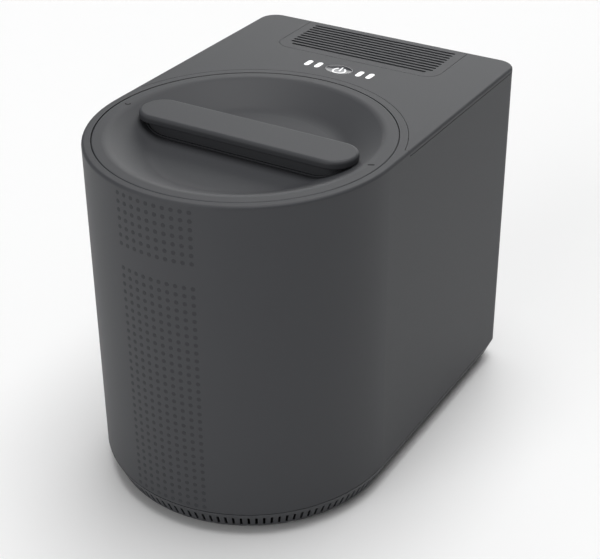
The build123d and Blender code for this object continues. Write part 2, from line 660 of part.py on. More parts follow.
def under_dish(drop, foot):
    """Solid of revolution from height foot up to the dish's line, lowered by drop."""
    with BuildPart() as core:
        with BuildSketch(LID_SECTION):
            with BuildLine():
                outer, inner = dish_curve(drop)
                Polyline(inner, (0, DISH_FLOOR - drop), (0, foot), (DISH_RADIUS, foot), outer)
            make_face()
        revolve(axis=LID_AXIS)
    return core.part


with BuildPart() as lid_hollow:
    add(under_dish(LID_SKIN, SKIRT_FOOT - 1))
    with BuildSketch(lid_level(SKIRT_FOOT - 1)):
        Circle(SKIRT_RADIUS - SKIRT_WALL)
    extrude(amount=SKIRT_DEPTH, mode=Mode.INTERSECT)
    # hollow under the pedestal, with bosses for the handle's screws
    with BuildSketch(lid_level(SKIRT_FOOT)):
        SlotOverall(PEDESTAL_LENGTH - 2 * POCKET_INSET, PEDESTAL_WIDTH - 2 * LID_SKIN)
        with GridLocations(HANDLE_SCREWS, 1, 3, 1):
            Circle(BOSS_RADIUS, mode=Mode.SUBTRACT)
    extrude(amount=HANDLE_FOOT - LID_SKIN - SKIRT_FOOT)

# step round the pedestal's foot, following the dish
with BuildPart() as pedestal_bead:
    add(under_dish(-BEAD_HEIGHT, DISH_FLOOR - 1))
    with BuildSketch(lid_level(DISH_FLOOR - 1)):
        SlotOverall(PEDESTAL_LENGTH + 2 * BEAD_WIDTH, PEDESTAL_WIDTH + 2 * BEAD_WIDTH)
    extrude(amount=HANDLE_FOOT - FIT - DISH_FLOOR + 1, mode=Mode.INTERSECT)

with BuildPart() as lid_dish:
    with BuildSketch(LID_SECTION):
        with BuildLine():
            outer, inner = dish_curve()
            Polyline(
                inner,
                (0, DISH_FLOOR),
                (0, SKIRT_FOOT),
                (SKIRT_RADIUS, SKIRT_FOOT),
                (SKIRT_RADIUS, FLANGE_UNDER),
                (LID_RADIUS, FLANGE_UNDER),
                (LID_RADIUS, HEIGHT - LID_EDGE_ROUND),
            )
            rim = RadiusArc((LID_RADIUS, HEIGHT - LID_EDGE_ROUND), (LID_RADIUS - LID_EDGE_ROUND, HEIGHT),
                            -LID_EDGE_ROUND)
            Line(rim @ 1, outer)
        make_face()
    revolve(axis=LID_AXIS)
    add(pedestal_bead.part)
    with BuildSketch(lid_level(DISH_FLOOR - 1)):
        SlotOverall(PEDESTAL_LENGTH, PEDESTAL_WIDTH)
    extrude(amount=HANDLE_FOOT - DISH_FLOOR + 1)
    add(lid_hollow.part, mode=Mode.SUBTRACT)
    for angle in LUG_ANGLES:
        with BuildSketch(lid_level(LUG_FOOT)):
            add(sector(SKIRT_RADIUS - 1, LUG_RADIUS, angle, LUG_WIDTH))
        extrude(amount=LUG_HEIGHT)
    with BuildSketch(lid_level(HANDLE_FOOT)):
        with GridLocations(HANDLE_SCREWS, 1, 3, 1):
            Circle(SCREW_RADIUS + 0.2)
    extrude(amount=-HANDLE_FOOT + DISH_FLOOR - LID_SKIN - 1, mode=Mode.SUBTRACT)

lid_dish.part.label = "lid_dish"
export_step(lid_dish.part, "parts/lid_dish.step")

# Handle bar: broad grip that overhangs the pedestal all round.
with BuildPart() as handle_bar:
    with BuildSketch(lid_level(HANDLE_FOOT)):
        RectangleRounded(HANDLE_LENGTH, HANDLE_WIDTH, HANDLE_CORNER)
    extrude(amount=HANDLE_THICK)
    fillet(handle_bar.edges().group_by(Axis.Z)[-1], HANDLE_ROUND)
    fillet(handle_bar.edges().group_by(Axis.Z)[0], HANDLE_ARRIS)
    with BuildSketch(lid_level(HANDLE_FOOT)):
        with GridLocations(HANDLE_SCREWS, 1, 3, 1):
            Circle(SCREW_RADIUS)
    extrude(amount=HANDLE_THICK - HANDLE_SKIN, mode=Mode.SUBTRACT)

handle_bar.part.label = "handle_bar"
export_step(handle_bar.part, "parts/handle_bar.step")

# Handle screws: up through the pedestal into the bar.
with BuildPart() as handle_screws:
    with BuildSketch(lid_level(DISH_FLOOR - LID_SKIN - 2.2)):
        with GridLocations(HANDLE_SCREWS, 1, 3, 1):
            Circle(SCREW_HEAD)
    extrude(amount=2.2)
    with BuildSketch(lid_level(DISH_FLOOR - LID_SKIN)):
        with GridLocations(HANDLE_SCREWS, 1, 3, 1):
            Circle(SCREW_RADIUS - 0.05)
    extrude(amount=HANDLE_FOOT + HANDLE_THICK - HANDLE_SKIN - 1 - DISH_FLOOR + LID_SKIN)

handle_screws.part.label = "handle_screws"
export_step(handle_screws.part, "parts/handle_screws.step")

# Swivel ring: screwed under the dish, holds the head of the seal carrier's post.
POST_HEAD = 15.8
POST_NECK = 12.0
with BuildPart() as swivel_ring:
    with BuildSketch(lid_level(SWIVEL_FOOT)):
        Circle(SWIVEL_OUTSIDE)
        Circle(POST_NECK + 0.4, mode=Mode.SUBTRACT)
    extrude(amount=3)
    with BuildSketch(lid_level(SWIVEL_FOOT + 3)):
        Circle(SWIVEL_OUTSIDE - 3)
        Circle(POST_HEAD + 0.4, mode=Mode.SUBTRACT)
    extrude(amount=7.8)
    with BuildSketch(lid_level(SWIVEL_FOOT + 10.8)):
        Circle(SWIVEL_OUTSIDE)
        Circle(POST_HEAD + 0.4, mode=Mode.SUBTRACT)
        Circle(SCREW_HEAD + 0.4, mode=Mode.SUBTRACT)
    extrude(amount=2.2)

swivel_ring.part.label = "swivel_ring"
export_step(swivel_ring.part, "parts/swivel_ring.step")

# Seal carrier: the still inner lid, domed, with the post the outer lid turns on.
CARRIER_RADIUS = RIM_FLANGE - 9.0
DOME_RADIUS = CARRIER_RADIUS - 26.0
SEAL_LINE = BUCKET_RIM + FIT
with BuildPart() as seal_carrier:
    with BuildSketch(LID_SECTION):
        with BuildLine():
            Polyline(
                (0, SEAL_LINE + 8),
                (DOME_RADIUS, SEAL_LINE + 8),
                (DOME_RADIUS + 14, SEAL_LINE + 1),
                (CARRIER_RADIUS, SEAL_LINE + 1),
                (CARRIER_RADIUS, SEAL_LINE + 7),
                (CARRIER_RADIUS - 2, SEAL_LINE + 7),
                (CARRIER_RADIUS - 2, SEAL_LINE + 3),
                (DOME_RADIUS + 15, SEAL_LINE + 3),
                (DOME_RADIUS + 1, SEAL_LINE + 10),
                (POST_NECK, SEAL_LINE + 10),
                (POST_NECK, SWIVEL_FOOT + 3.5),
                (POST_HEAD, SWIVEL_FOOT + 3.5),
                (POST_HEAD, SWIVEL_FOOT + 9.5),
                (0, SWIVEL_FOOT + 9.5),
                close=True,
            )
        make_face()
    revolve(axis=LID_AXIS)
    # steam holes through the dome, and ribs
    with BuildSketch(lid_level(SEAL_LINE)):
        with PolarLocations(DOME_RADIUS - 18, 12):
            SlotOverall(16, 5)
    extrude(amount=14, mode=Mode.SUBTRACT)

seal_carrier.part.label = "seal_carrier"
export_step(seal_carrier.part, "parts/seal_carrier.step")

# Lid seal: silicone ring stretched round the carrier, pressing on the bucket's rim.
with BuildPart() as lid_seal:
    with BuildSketch(LID_SECTION):
        with BuildLine():
            Polyline(
                (CARRIER_RADIUS, SEAL_LINE + 0.6),
                (CARRIER_RADIUS + 1, SEAL_LINE),
                (RIM_FLANGE - 1.5, SEAL_LINE),
                (RIM_FLANGE - 0.5, SEAL_LINE + 1.2),
                (CARRIER_RADIUS + 4, SEAL_LINE + 3),
                (CARRIER_RADIUS + 3, SEAL_LINE + 6),
                (CARRIER_RADIUS, SEAL_LINE + 6.4),
                close=True,
            )
        make_face()
    revolve(axis=LID_AXIS)

lid_seal.part.label = "lid_seal"
export_step(lid_seal.part, "parts/lid_seal.step")

# ================================================================ bucket
BUCKET_FOOT_RADIUS = BUCKET_RADIUS - BUCKET_DRAFT
with BuildPart() as bucket:
    with BuildSketch(LID_SECTION):
        with BuildLine():
            Polyline(
                (0, BUCKET_BASE),
                (BUCKET_FOOT_RADIUS - 4, BUCKET_BASE),
                (BUCKET_FOOT_RADIUS, BUCKET_BASE + 4),
                (BUCKET_RADIUS, BUCKET_RIM - 3),
                (RIM_FLANGE, BUCKET_RIM - 3),
                (RIM_FLANGE, BUCKET_RIM),
                (BUCKET_RADIUS - BUCKET_WALL, BUCKET_RIM),
                (BUCKET_FOOT_RADIUS - BUCKET_WALL, BUCKET_INSIDE + 8),
            )
            foot_bend = RadiusArc((BUCKET_FOOT_RADIUS - BUCKET_WALL, BUCKET_INSIDE + 8),
                                  (BUCKET_FOOT_RADIUS - BUCKET_WALL - 8, BUCKET_INSIDE), 8)
            Polyline(foot_bend @ 1, (0, BUCKET_INSIDE), (0, BUCKET_BASE))
        make_face()
    revolve(axis=LID_AXIS)
    # hub under the floor, bored for the bush
    with BuildSketch(lid_level(HUB_FOOT)):
        Circle(BUSH_RADIUS + 8)
    extrude(amount=BUCKET_BASE - HUB_FOOT + 1)
    with BuildSketch(lid_level(HUB_FOOT)):
        Circle(BUSH_RADIUS)
    extrude(amount=BUCKET_INSIDE - HUB_FOOT, mode=Mode.SUBTRACT)
    # ears for the bail
    for side in (-1, 1):
        with BuildSketch(lid_level(BAIL_LEVEL - BAIL_WIRE - 2.5)):
            with Locations((side * (RIM_FLANGE - 1.5), 0)):
                Rectangle(3, 12)
        extrude(amount=BUCKET_RIM - BAIL_LEVEL + BAIL_WIRE + 2.5)
    with BuildSketch(Plane(origin=(0, LID_Y, BAIL_LEVEL), x_dir=(0, 1, 0), z_dir=(1, 0, 0))):
        Circle(BAIL_WIRE + RUNNING)
    extrude(amount=RIM_FLANGE + 1, both=True, mode=Mode.SUBTRACT)

bucket.part.label = "bucket"
export_step(bucket.part, "parts/bucket.step")

# Bush: bronze sleeve pressed into the bucket's hub.
with BuildPart() as bucket_bush:
    with BuildSketch(lid_level(HUB_FOOT)):
        Circle(BUSH_RADIUS)
        Circle(SPINDLE_RADIUS + RUNNING, mode=Mode.SUBTRACT)
    extrude(amount=BUCKET_INSIDE - HUB_FOOT)

bucket_bush.part.label = "bucket_bush"
export_step(bucket_bush.part, "parts/bucket_bush.step")

# Wall teeth: fixed blades on the bucket's wall that the arms pass under.
TOOTH_LEVEL = BUCKET_INSIDE + 32.0
TOOTH_REACH = 30.0
with BuildPart() as wall_teeth:
    for angle in (30, 150, 270):
        with BuildSketch(lid_level(TOOTH_LEVEL)):
            with BuildLine(Location((0, 0, 0), (0, 0, angle))):
                Polyline(
                    (BUCKET_RADIUS - BUCKET_WALL - TOOTH_REACH, -1),
                    (BUCKET_RADIUS + 1, -8),
                    (BUCKET_RADIUS + 1, 8),
                    (BUCKET_RADIUS - BUCKET_WALL - TOOTH_REACH, 1),
                    close=True,
                )
            make_face()
        extrude(amount=16)
    # trimmed to the inside of the drafted wall
    with BuildSketch(LID_SECTION):
        with BuildLine():
            Polyline(
                (20, BUCKET_INSIDE + 8),
                (BUCKET_FOOT_RADIUS - BUCKET_WALL, BUCKET_INSIDE + 8),
                (BUCKET_RADIUS - BUCKET_WALL, BUCKET_RIM),
                (20, BUCKET_RIM),
                close=True,
            )
        make_face()
    revolve(axis=LID_AXIS, mode=Mode.INTERSECT)

wall_teeth.part.label = "wall_teeth"
export_step(wall_teeth.part, "parts/wall_teeth.step")

# Agitator: cone hub with three curved plough arms at rising heights.
ARM_REACH = BUCKET_FOOT_RADIUS - BUCKET_WALL - 5
HUB_RADIUS = 21.0
HUB_HEIGHT = 42.0
with BuildPart() as agitator:
    with BuildSketch(LID_SECTION):
        with BuildLine():
            Polyline(
                (SPINDLE_RADIUS, BUCKET_INSIDE + 0.6),
                (HUB_RADIUS, BUCKET_INSIDE + 0.6),
                (HUB_RADIUS, BUCKET_INSIDE + 8),
                (13, BUCKET_INSIDE + HUB_HEIGHT - 4),
                (9, BUCKET_INSIDE + HUB_HEIGHT),
                (0, BUCKET_INSIDE + HUB_HEIGHT),
                (0, BUCKET_INSIDE + HUB_HEIGHT - 8),
                (SPINDLE_RADIUS, BUCKET_INSIDE + HUB_HEIGHT - 8),
                close=True,
            )
        make_face()
    revolve(axis=LID_AXIS)
    for arm in range(3):
        angle = 120 * arm + 90
        with BuildSketch(lid_level(BUCKET_INSIDE + 1.2)):
            with BuildLine(Location((0, 0, 0), (0, 0, angle))):
                lead = ThreePointArc((SPINDLE_RADIUS + 2, -5), (ARM_REACH * 0.55, -24), (ARM_REACH, -14))
                trail = ThreePointArc((SPINDLE_RADIUS + 2, 8), (ARM_REACH * 0.5, -10),
                                      (ARM_REACH * 0.985, -4))
                Line(lead @ 0, trail @ 0)
                Line(lead @ 1, trail @ 1)
            make_face()
        extrude(amount=10 + 6 * arm)

agitator.part.label = "agitator"
export_step(agitator.part, "parts/agitator.step")

# Spindle: shaft through the bush, with a cross dog at its foot.
with BuildPart() as agitator_spindle:
    with BuildSketch(lid_level(HUB_FOOT - 0.5)):
        Circle(SPINDLE_RADIUS)
    extrude(amount=BUCKET_INSIDE + HUB_HEIGHT - 8 - HUB_FOOT + 0.5)
    with BuildSketch(lid_level(SPINDLE_FOOT)):
        Rectangle(DOG_LENGTH, DOG_WIDTH)
        Rectangle(DOG_WIDTH, DOG_LENGTH)
    extrude(amount=HUB_FOOT - 0.5 - SPINDLE_FOOT)

agitator_spindle.part.label = "agitator_spindle"
export_step(agitator_spindle.part, "parts/agitator_spindle.step")

# Bail: half hoop of wire that folds flat round the rim, with a moulded grip.
BAIL_LINE = Plane(origin=(0, LID_Y, BAIL_LEVEL), x_dir=(0, 1, 0), z_dir=(1, 0, 0))
GRIP_SWEEP = 50.0
with BuildPart() as bail:
    with BuildLine(lid_level(BAIL_LEVEL)):
        hoop = CenterArc((0, 0), BAIL_RADIUS, 182, 176)
    with BuildSketch(Plane(origin=hoop @ 0, z_dir=hoop % 0)):
        Circle(BAIL_WIRE)
    sweep(path=hoop)
    for side in (-1, 1):
        with BuildSketch(BAIL_LINE.offset(side * (RIM_FLANGE - 2.4))):
            Circle(BAIL_WIRE)
        extrude(amount=side * (BAIL_RADIUS - RIM_FLANGE + 2.4))
        with BuildSketch(BAIL_LINE.offset(side * (RIM_FLANGE + 0.4))):
            with Locations((-1.9, 0)):
                Rectangle(7.6, 2 * BAIL_WIRE)
        extrude(amount=side * (BAIL_RADIUS + BAIL_WIRE - RIM_FLANGE - 0.4))

bail.part.label = "bail"
export_step(bail.part, "parts/bail.step")

# Grip: heat-resistant sleeve on the middle of the bail, split so that it snaps on.
with BuildPart() as bail_grip:
    with BuildLine(lid_level(BAIL_LEVEL)):
        grip_line = CenterArc((0, 0), BAIL_RADIUS, 270 - GRIP_SWEEP / 2, GRIP_SWEEP)
    with BuildSketch(Plane(origin=grip_line @ 0, x_dir=(0, 0, 1), z_dir=grip_line % 0)):
        RectangleRounded(11, 4.2, 1.5)
        Circle(BAIL_WIRE + 0.01, mode=Mode.SUBTRACT)
    sweep(path=grip_line)

bail_grip.part.label = "bail_grip"
export_step(bail_grip.part, "parts/bail_grip.step")

# ================================================================ well and heat
# Well: pressed steel can that the bucket drops into, hung under the collar by its flange.
with BuildPart() as well:
    with BuildSketch(LID_SECTION):
        with BuildLine():
            Polyline(
                (SEAL_RADIUS, CHASSIS_TOP),
                (WELL_OUTSIDE, CHASSIS_TOP),
                (WELL_OUTSIDE, COLLAR_FLOOR - WELL_WALL),
                (WELL_FLANGE, COLLAR_FLOOR - WELL_WALL),
                (WELL_FLANGE, COLLAR_FLOOR),
                (WELL_RADIUS, COLLAR_FLOOR),
                (WELL_RADIUS, CHASSIS_TOP + WELL_WALL),
                (SEAL_RADIUS, CHASSIS_TOP + WELL_WALL),
                close=True,
            )
        make_face()
    revolve(axis=LID_AXIS)

well.part.label = "well"
export_step(well.part, "parts/well.step")

# Insulation wrap: glass-fibre blanket round the well.
with BuildPart() as insulation_wrap:
    with BuildSketch(lid_level(CHASSIS_TOP + 4)):
        Circle(WELL_OUTSIDE + WRAP_THICK)
        Circle(WELL_OUTSIDE, mode=Mode.SUBTRACT)
    extrude(amount=COLLAR_FLOOR - WELL_WALL - 8 - CHASSIS_TOP - 4)

insulation_wrap.part.label = "insulation_wrap"
export_step(insulation_wrap.part, "parts/insulation_wrap.step")

# Chassis plate: steel disc on the tray's pillars, carrying the well and the shaft seal.
CHASSIS_RADIUS = HALF_WIDTH - WALL - 14.0
countersinks = [(x, y, CHASSIS_TOP - CHASSIS_THICK / 2) for x, y in PILLARS]
with BuildPart() as chassis_plate:
    with BuildSketch(lid_level(CHASSIS_TOP - CHASSIS_THICK)):
        Circle(CHASSIS_RADIUS)
        Circle(SEAL_SEAT, mode=Mode.SUBTRACT)
    extrude(amount=CHASSIS_THICK)
    with BuildSketch(level(CHASSIS_TOP - CHASSIS_THICK)):
        with Locations((0, MOTOR_Y)):
            Circle(MOTOR_RADIUS + 2)
    extrude(amount=CHASSIS_THICK, mode=Mode.SUBTRACT)
    with Locations(*countersinks):
        Cone(SCREW_RADIUS, SCREW_HEAD, CHASSIS_THICK, mode=Mode.SUBTRACT)

chassis_plate.part.label = "chassis_plate"
export_step(chassis_plate.part, "parts/chassis_plate.step")

# Chassis screws: countersunk, down into the tray's pillars.
with BuildPart() as chassis_screws:
    with Locations(*countersinks):
        Cone(SCREW_RADIUS, SCREW_HEAD, CHASSIS_THICK)
    with BuildSketch(level(CHASSIS_TOP - CHASSIS_THICK)):
        with Locations(*PILLARS):
            Circle(SCREW_RADIUS)
    extrude(amount=1 - CHASSIS_SCREW)

chassis_screws.part.label = "chassis_screws"
export_step(chassis_screws.part, "parts/chassis_screws.step")

# Shaft seal: rubber ring round the coupling, in the hole in the well's floor.
with BuildPart() as shaft_seal:
    with BuildSketch(lid_level(CHASSIS_TOP)):
        Circle(SEAL_RADIUS)
        Circle(COUPLING_RADIUS + 1, mode=Mode.SUBTRACT)
    extrude(amount=COUPLING_TOP - CHASSIS_TOP - 1)

shaft_seal.part.label = "shaft_seal"
export_step(shaft_seal.part, "parts/shaft_seal.step")

# Heater plate: cast aluminium disc with the element cast into a ring below it.
THERMOSTAT_RADIUS = 8.0
THERMOSTAT_PLACE = HEATER_BORE + 18.0    # lid axis to its middle
ELEMENT_RADIUS = 4.5
ELEMENT_CIRCLE = max(HEATER_RADIUS - 30.0, THERMOSTAT_PLACE + THERMOSTAT_RADIUS + ELEMENT_RADIUS + 1.5)
HEATER_FOOT = HEATER_TOP - HEATER_THICK
with BuildPart() as heater_plate:
    with BuildSketch(lid_level(HEATER_FOOT + 4)):
        Circle(HEATER_RADIUS)
        Circle(HEATER_BORE, mode=Mode.SUBTRACT)
    extrude(amount=HEATER_THICK - 4)
    with BuildSketch(LID_SECTION):
        with Locations((ELEMENT_CIRCLE, HEATER_FOOT + 4)):
            Circle(ELEMENT_RADIUS)
    revolve(axis=LID_AXIS)
    with BuildSketch(lid_level(CHASSIS_TOP + WELL_WALL)):
        with PolarLocations(HEATER_RADIUS - 10, 3, 30):
            Circle(6)
    extrude(amount=HEATER_FOOT + 4.5 - CHASSIS_TOP - WELL_WALL)

heater_plate.part.label = "heater_plate"
export_step(heater_plate.part, "parts/heater_plate.step")

# Thermostat: snap disc clipped under the heater plate.
with BuildPart() as thermostat:
    with BuildSketch(level(CHASSIS_TOP + WELL_WALL, LID_Y + THERMOSTAT_PLACE)):
        Circle(THERMOSTAT_RADIUS)
    extrude(amount=HEATER_FOOT + 4 - CHASSIS_TOP - WELL_WALL)

thermostat.part.label = "thermostat"
export_step(thermostat.part, "parts/thermostat.step")

# ================================================================ drive
# Gearcase: two halves round the wheel, the idler and the motor pinion.
WHEEL_ROOM = WHEEL_PITCH + WHEEL_MODULE + 3
IDLER_ROOM = IDLER_TEETH * IDLER_MODULE / 2 + IDLER_MODULE + 2.5
MOTOR_ROOM = MOTOR_RADIUS
CASE_AXES = [(LID_Y, WHEEL_ROOM), (IDLER_Y, IDLER_ROOM), (MOTOR_Y, MOTOR_ROOM)]
CASE_LUGS = [(side * x, y) for side in (-1, 1)
             for x, y in ((WHEEL_ROOM + 5.5, LID_Y - 8), (IDLER_ROOM + 9, IDLER_Y + 2))]


def case_outline(wall):
    """Gearcase seen from above: the hull round the three gear axes."""
    with BuildSketch() as outline:
        with BuildLine():
            for y, room in CASE_AXES:
                CenterArc((0, y), room + wall, 0, 360)
        make_hull()
    return outline.sketch


IDLER_BEARING = IDLER_SHAFT_RADIUS + 2.0
WHEEL_BEARING = SHAFT_RADIUS + 4.0
with BuildPart() as gearcase_lower:
    with BuildSketch(level(GEARCASE_BASE)):
        add(case_outline(GEARCASE_WALL))
        with Locations(*CASE_LUGS):
            Circle(6)
    extrude(amount=GEARCASE_SPLIT - GEARCASE_BASE)
    with BuildSketch(level(GEARCASE_BASE + GEARCASE_WALL)):
        add(case_outline(0))
    extrude(amount=GEARCASE_SPLIT - GEARCASE_BASE - GEARCASE_WALL, mode=Mode.SUBTRACT)
    with BuildSketch(level(GEARCASE_BASE + GEARCASE_WALL)):
        with Locations((0, LID_Y)):
            Circle(WHEEL_BEARING + 3)
        with Locations((0, IDLER_Y)):
            Circle(IDLER_BEARING + 3)
    extrude(amount=5)
    with BuildSketch(level(GEARCASE_BASE + GEARCASE_WALL)):
        with Locations((0, LID_Y)):
            Circle(WHEEL_BEARING)
        with Locations((0, IDLER_Y)):
            Circle(IDLER_BEARING)
    extrude(amount=5, mode=Mode.SUBTRACT)
    with BuildSketch(level(GEARCASE_BASE)):
        with Locations(*CASE_LUGS):
            Circle(SCREW_RADIUS)
    extrude(amount=GEARCASE_SPLIT - GEARCASE_BASE, mode=Mode.SUBTRACT)
    # feet down to the tray
    with BuildSketch(level(TRAY_TOP)):
        with Locations(*CASE_LUGS):
            Circle(6)
            Circle(SCREW_RADIUS, mode=Mode.SUBTRACT)
    extrude(amount=GEARCASE_BASE - TRAY_TOP)

gearcase_lower.part.label = "gearcase_lower"
export_step(gearcase_lower.part, "parts/gearcase_lower.step")

# Upper half: carries the upper bearings and the motor.
with BuildPart() as gearcase_upper:
    with BuildSketch(level(GEARCASE_SPLIT)):
        add(case_outline(GEARCASE_WALL))
        with Locations(*CASE_LUGS):
            Circle(6)
    extrude(amount=GEARCASE_TOP - GEARCASE_SPLIT)
    with BuildSketch(level(GEARCASE_SPLIT)):
        add(case_outline(0))
    extrude(amount=GEARCASE_TOP - GEARCASE_SPLIT - GEARCASE_WALL, mode=Mode.SUBTRACT)
    with BuildSketch(level(GEARCASE_TOP - GEARCASE_WALL - 9)):
        with Locations((0, LID_Y)):
            Circle(WHEEL_BEARING + 3)
    extrude(amount=9)
    with BuildSketch(level(GEARCASE_TOP - GEARCASE_WALL - 4)):
        with Locations((0, IDLER_Y)):
            Circle(IDLER_BEARING + 3)
    extrude(amount=4)
    with BuildSketch(level(GEARCASE_TOP - GEARCASE_WALL - 9)):
        with Locations((0, LID_Y)):
            Circle(WHEEL_BEARING)
    extrude(amount=12, mode=Mode.SUBTRACT)
    with BuildSketch(level(GEARCASE_TOP - GEARCASE_WALL - 4)):
        with Locations((0, IDLER_Y)):
            Circle(IDLER_BEARING)
    extrude(amount=4, mode=Mode.SUBTRACT)
    with BuildSketch(level(GEARCASE_SPLIT)):
        with Locations((0, MOTOR_Y)):
            Circle(PINION_TEETH * IDLER_MODULE / 2 + IDLER_MODULE + 1)
        with Locations(*CASE_LUGS):
            Circle(SCREW_RADIUS + 0.2)
    extrude(amount=GEARCASE_TOP - GEARCASE_SPLIT, mode=Mode.SUBTRACT)

gearcase_upper.part.label = "gearcase_upper"
export_step(gearcase_upper.part, "parts/gearcase_upper.step")

# Gearcase screws.
with BuildPart() as gearcase_screws:
    with BuildSketch(level(GEARCASE_TOP)):
        with Locations(*CASE_LUGS):
            Circle(SCREW_HEAD)
            RegularPolygon(1.7, 6, mode=Mode.SUBTRACT)
    extrude(amount=2.4)
    with BuildSketch(level(GEARCASE_TOP)):
        with Locations(*CASE_LUGS):
            Circle(SCREW_HEAD)
    extrude(amount=0.8)
    with BuildSketch(level(TRAY_TOP + 1)):
        with Locations(*CASE_LUGS):
            Circle(SCREW_RADIUS - 0.05)
    extrude(amount=GEARCASE_TOP - TRAY_TOP - 1)

gearcase_screws.part.label = "gearcase_screws"
export_step(gearcase_screws.part, "parts/gearcase_screws.step")

# Bearings: plain bushes for the output shaft and the idler, in pairs.
with BuildPart() as gearcase_bearings:
    with BuildSketch(lid_level(GEARCASE_BASE + GEARCASE_WALL)):
        Circle(WHEEL_BEARING)
        Circle(SHAFT_RADIUS + RUNNING, mode=Mode.SUBTRACT)
    extrude(amount=5)
    with BuildSketch(lid_level(GEARCASE_TOP - GEARCASE_WALL - 9)):
        Circle(WHEEL_BEARING)
        Circle(SHAFT_RADIUS + RUNNING, mode=Mode.SUBTRACT)
    extrude(amount=12)
    with BuildSketch(level(GEARCASE_BASE + GEARCASE_WALL, IDLER_Y)):
        Circle(IDLER_BEARING)
        Circle(IDLER_SHAFT_RADIUS + RUNNING, mode=Mode.SUBTRACT)
    extrude(amount=5)
    with BuildSketch(level(GEARCASE_TOP - GEARCASE_WALL - 4, IDLER_Y)):
        Circle(IDLER_BEARING)
        Circle(IDLER_SHAFT_RADIUS + RUNNING, mode=Mode.SUBTRACT)
    extrude(amount=4)

gearcase_bearings.part.label = "gearcase_bearings"
export_step(gearcase_bearings.part, "parts/gearcase_bearings.step")

# Output wheel: webbed spur gear with six lightening holes.
with BuildPart() as output_wheel:
    with BuildSketch(lid_level(WHEEL_FOOT)):
        add(gear_outline(WHEEL_TEETH, WHEEL_MODULE, SHAFT_RADIUS, 90))
    extrude(amount=WHEEL_FACE)
    for foot in (WHEEL_FOOT, WHEEL_FOOT + WHEEL_FACE - 3):
        with BuildSketch(lid_level(foot)):
            Circle(WHEEL_PITCH - 8)
            Circle(16, mode=Mode.SUBTRACT)
        extrude(amount=3, mode=Mode.SUBTRACT)
    with BuildSketch(lid_level(WHEEL_FOOT)):
        with PolarLocations(43, 6):
            Circle(9)
    extrude(amount=WHEEL_FACE, mode=Mode.SUBTRACT)

output_wheel.part.label = "output_wheel"
export_step(output_wheel.part, "parts/output_wheel.step")

# Output shaft: through both bearings, up into the coupling.
with BuildPart() as output_shaft:
    with BuildSketch(lid_level(GEARCASE_BASE + GEARCASE_WALL + 0.3)):
        Circle(SHAFT_RADIUS)
    extrude(amount=SOCKET_FLOOR - 1 - GEARCASE_BASE - GEARCASE_WALL - 0.3)

output_shaft.part.label = "output_shaft"
export_step(output_shaft.part, "parts/output_shaft.step")

# Drive coupling: cup on the output shaft with a cross-shaped socket for the spindle's dog.
with BuildPart() as drive_coupling:
    with BuildSketch(lid_level(COUPLING_FOOT)):
        Circle(COUPLING_RADIUS)
    extrude(amount=COUPLING_TOP - COUPLING_FOOT)
    with BuildSketch(lid_level(SOCKET_FLOOR)):
        Rectangle(DOG_LENGTH + 2 * DOG_PLAY, DOG_WIDTH + 2 * DOG_PLAY)
        Rectangle(DOG_WIDTH + 2 * DOG_PLAY, DOG_LENGTH + 2 * DOG_PLAY)
    extrude(amount=COUPLING_TOP - SOCKET_FLOOR, mode=Mode.SUBTRACT)
    with BuildSketch(lid_level(COUPLING_FOOT)):
        Circle(SHAFT_RADIUS)
    extrude(amount=SOCKET_FLOOR - 1 - COUPLING_FOOT, mode=Mode.SUBTRACT)

drive_coupling.part.label = "drive_coupling"
export_step(drive_coupling.part, "parts/drive_coupling.step")

# Idler wheel: driven by the motor's pinion.
with BuildPart() as idler_wheel:
    with BuildSketch(level(IDLER_FOOT, IDLER_Y)):
        add(gear_outline(IDLER_TEETH, IDLER_MODULE, IDLER_SHAFT_RADIUS, 90))
    extrude(amount=IDLER_FACE)
    with BuildSketch(level(IDLER_FOOT + IDLER_FACE - 3, IDLER_Y)):
        Circle(IDLER_TEETH * IDLER_MODULE / 2 - 7)
        Circle(12, mode=Mode.SUBTRACT)
    extrude(amount=3, mode=Mode.SUBTRACT)

idler_wheel.part.label = "idler_wheel"
export_step(idler_wheel.part, "parts/idler_wheel.step")

# Idler pinion: below the idler wheel on the same shaft, drives the output wheel.
with BuildPart() as idler_pinion:
    with BuildSketch(level(WHEEL_FOOT - 1, IDLER_Y)):
        add(gear_outline(PINION_TEETH, WHEEL_MODULE, IDLER_SHAFT_RADIUS, -90 + 180 / PINION_TEETH))
    extrude(amount=WHEEL_FACE + 2)

idler_pinion.part.label = "idler_pinion"
export_step(idler_pinion.part, "parts/idler_pinion.step")

# Idler shaft.
with BuildPart() as idler_shaft:
    with BuildSketch(level(GEARCASE_BASE + GEARCASE_WALL + 0.3, IDLER_Y)):
        Circle(IDLER_SHAFT_RADIUS)
    extrude(amount=GEARCASE_TOP - GEARCASE_BASE - 2 * GEARCASE_WALL - 0.6)

idler_shaft.part.label = "idler_shaft"
export_step(idler_shaft.part, "parts/idler_shaft.step")

# Motor: can on top of the gearcase, its shaft reaching down to the pinion.
with BuildPart() as motor:
    with BuildSketch(level(GEARCASE_TOP, MOTOR_Y)):
        Circle(MOTOR_RADIUS)
    extrude(amount=MOTOR_HEIGHT)
    chamfer(motor.edges().group_by(Axis.Z)[-1], 3)
    with BuildSketch(level(GEARCASE_TOP + MOTOR_HEIGHT, MOTOR_Y)):
        Circle(12)
    extrude(amount=4)
    with BuildSketch(level(GEARCASE_TOP, MOTOR_Y)):
        Circle(MOTOR_SHAFT_RADIUS + RUNNING)
    extrude(amount=MOTOR_HEIGHT, mode=Mode.SUBTRACT)

motor.part.label = "motor"
export_step(motor.part, "parts/motor.step")

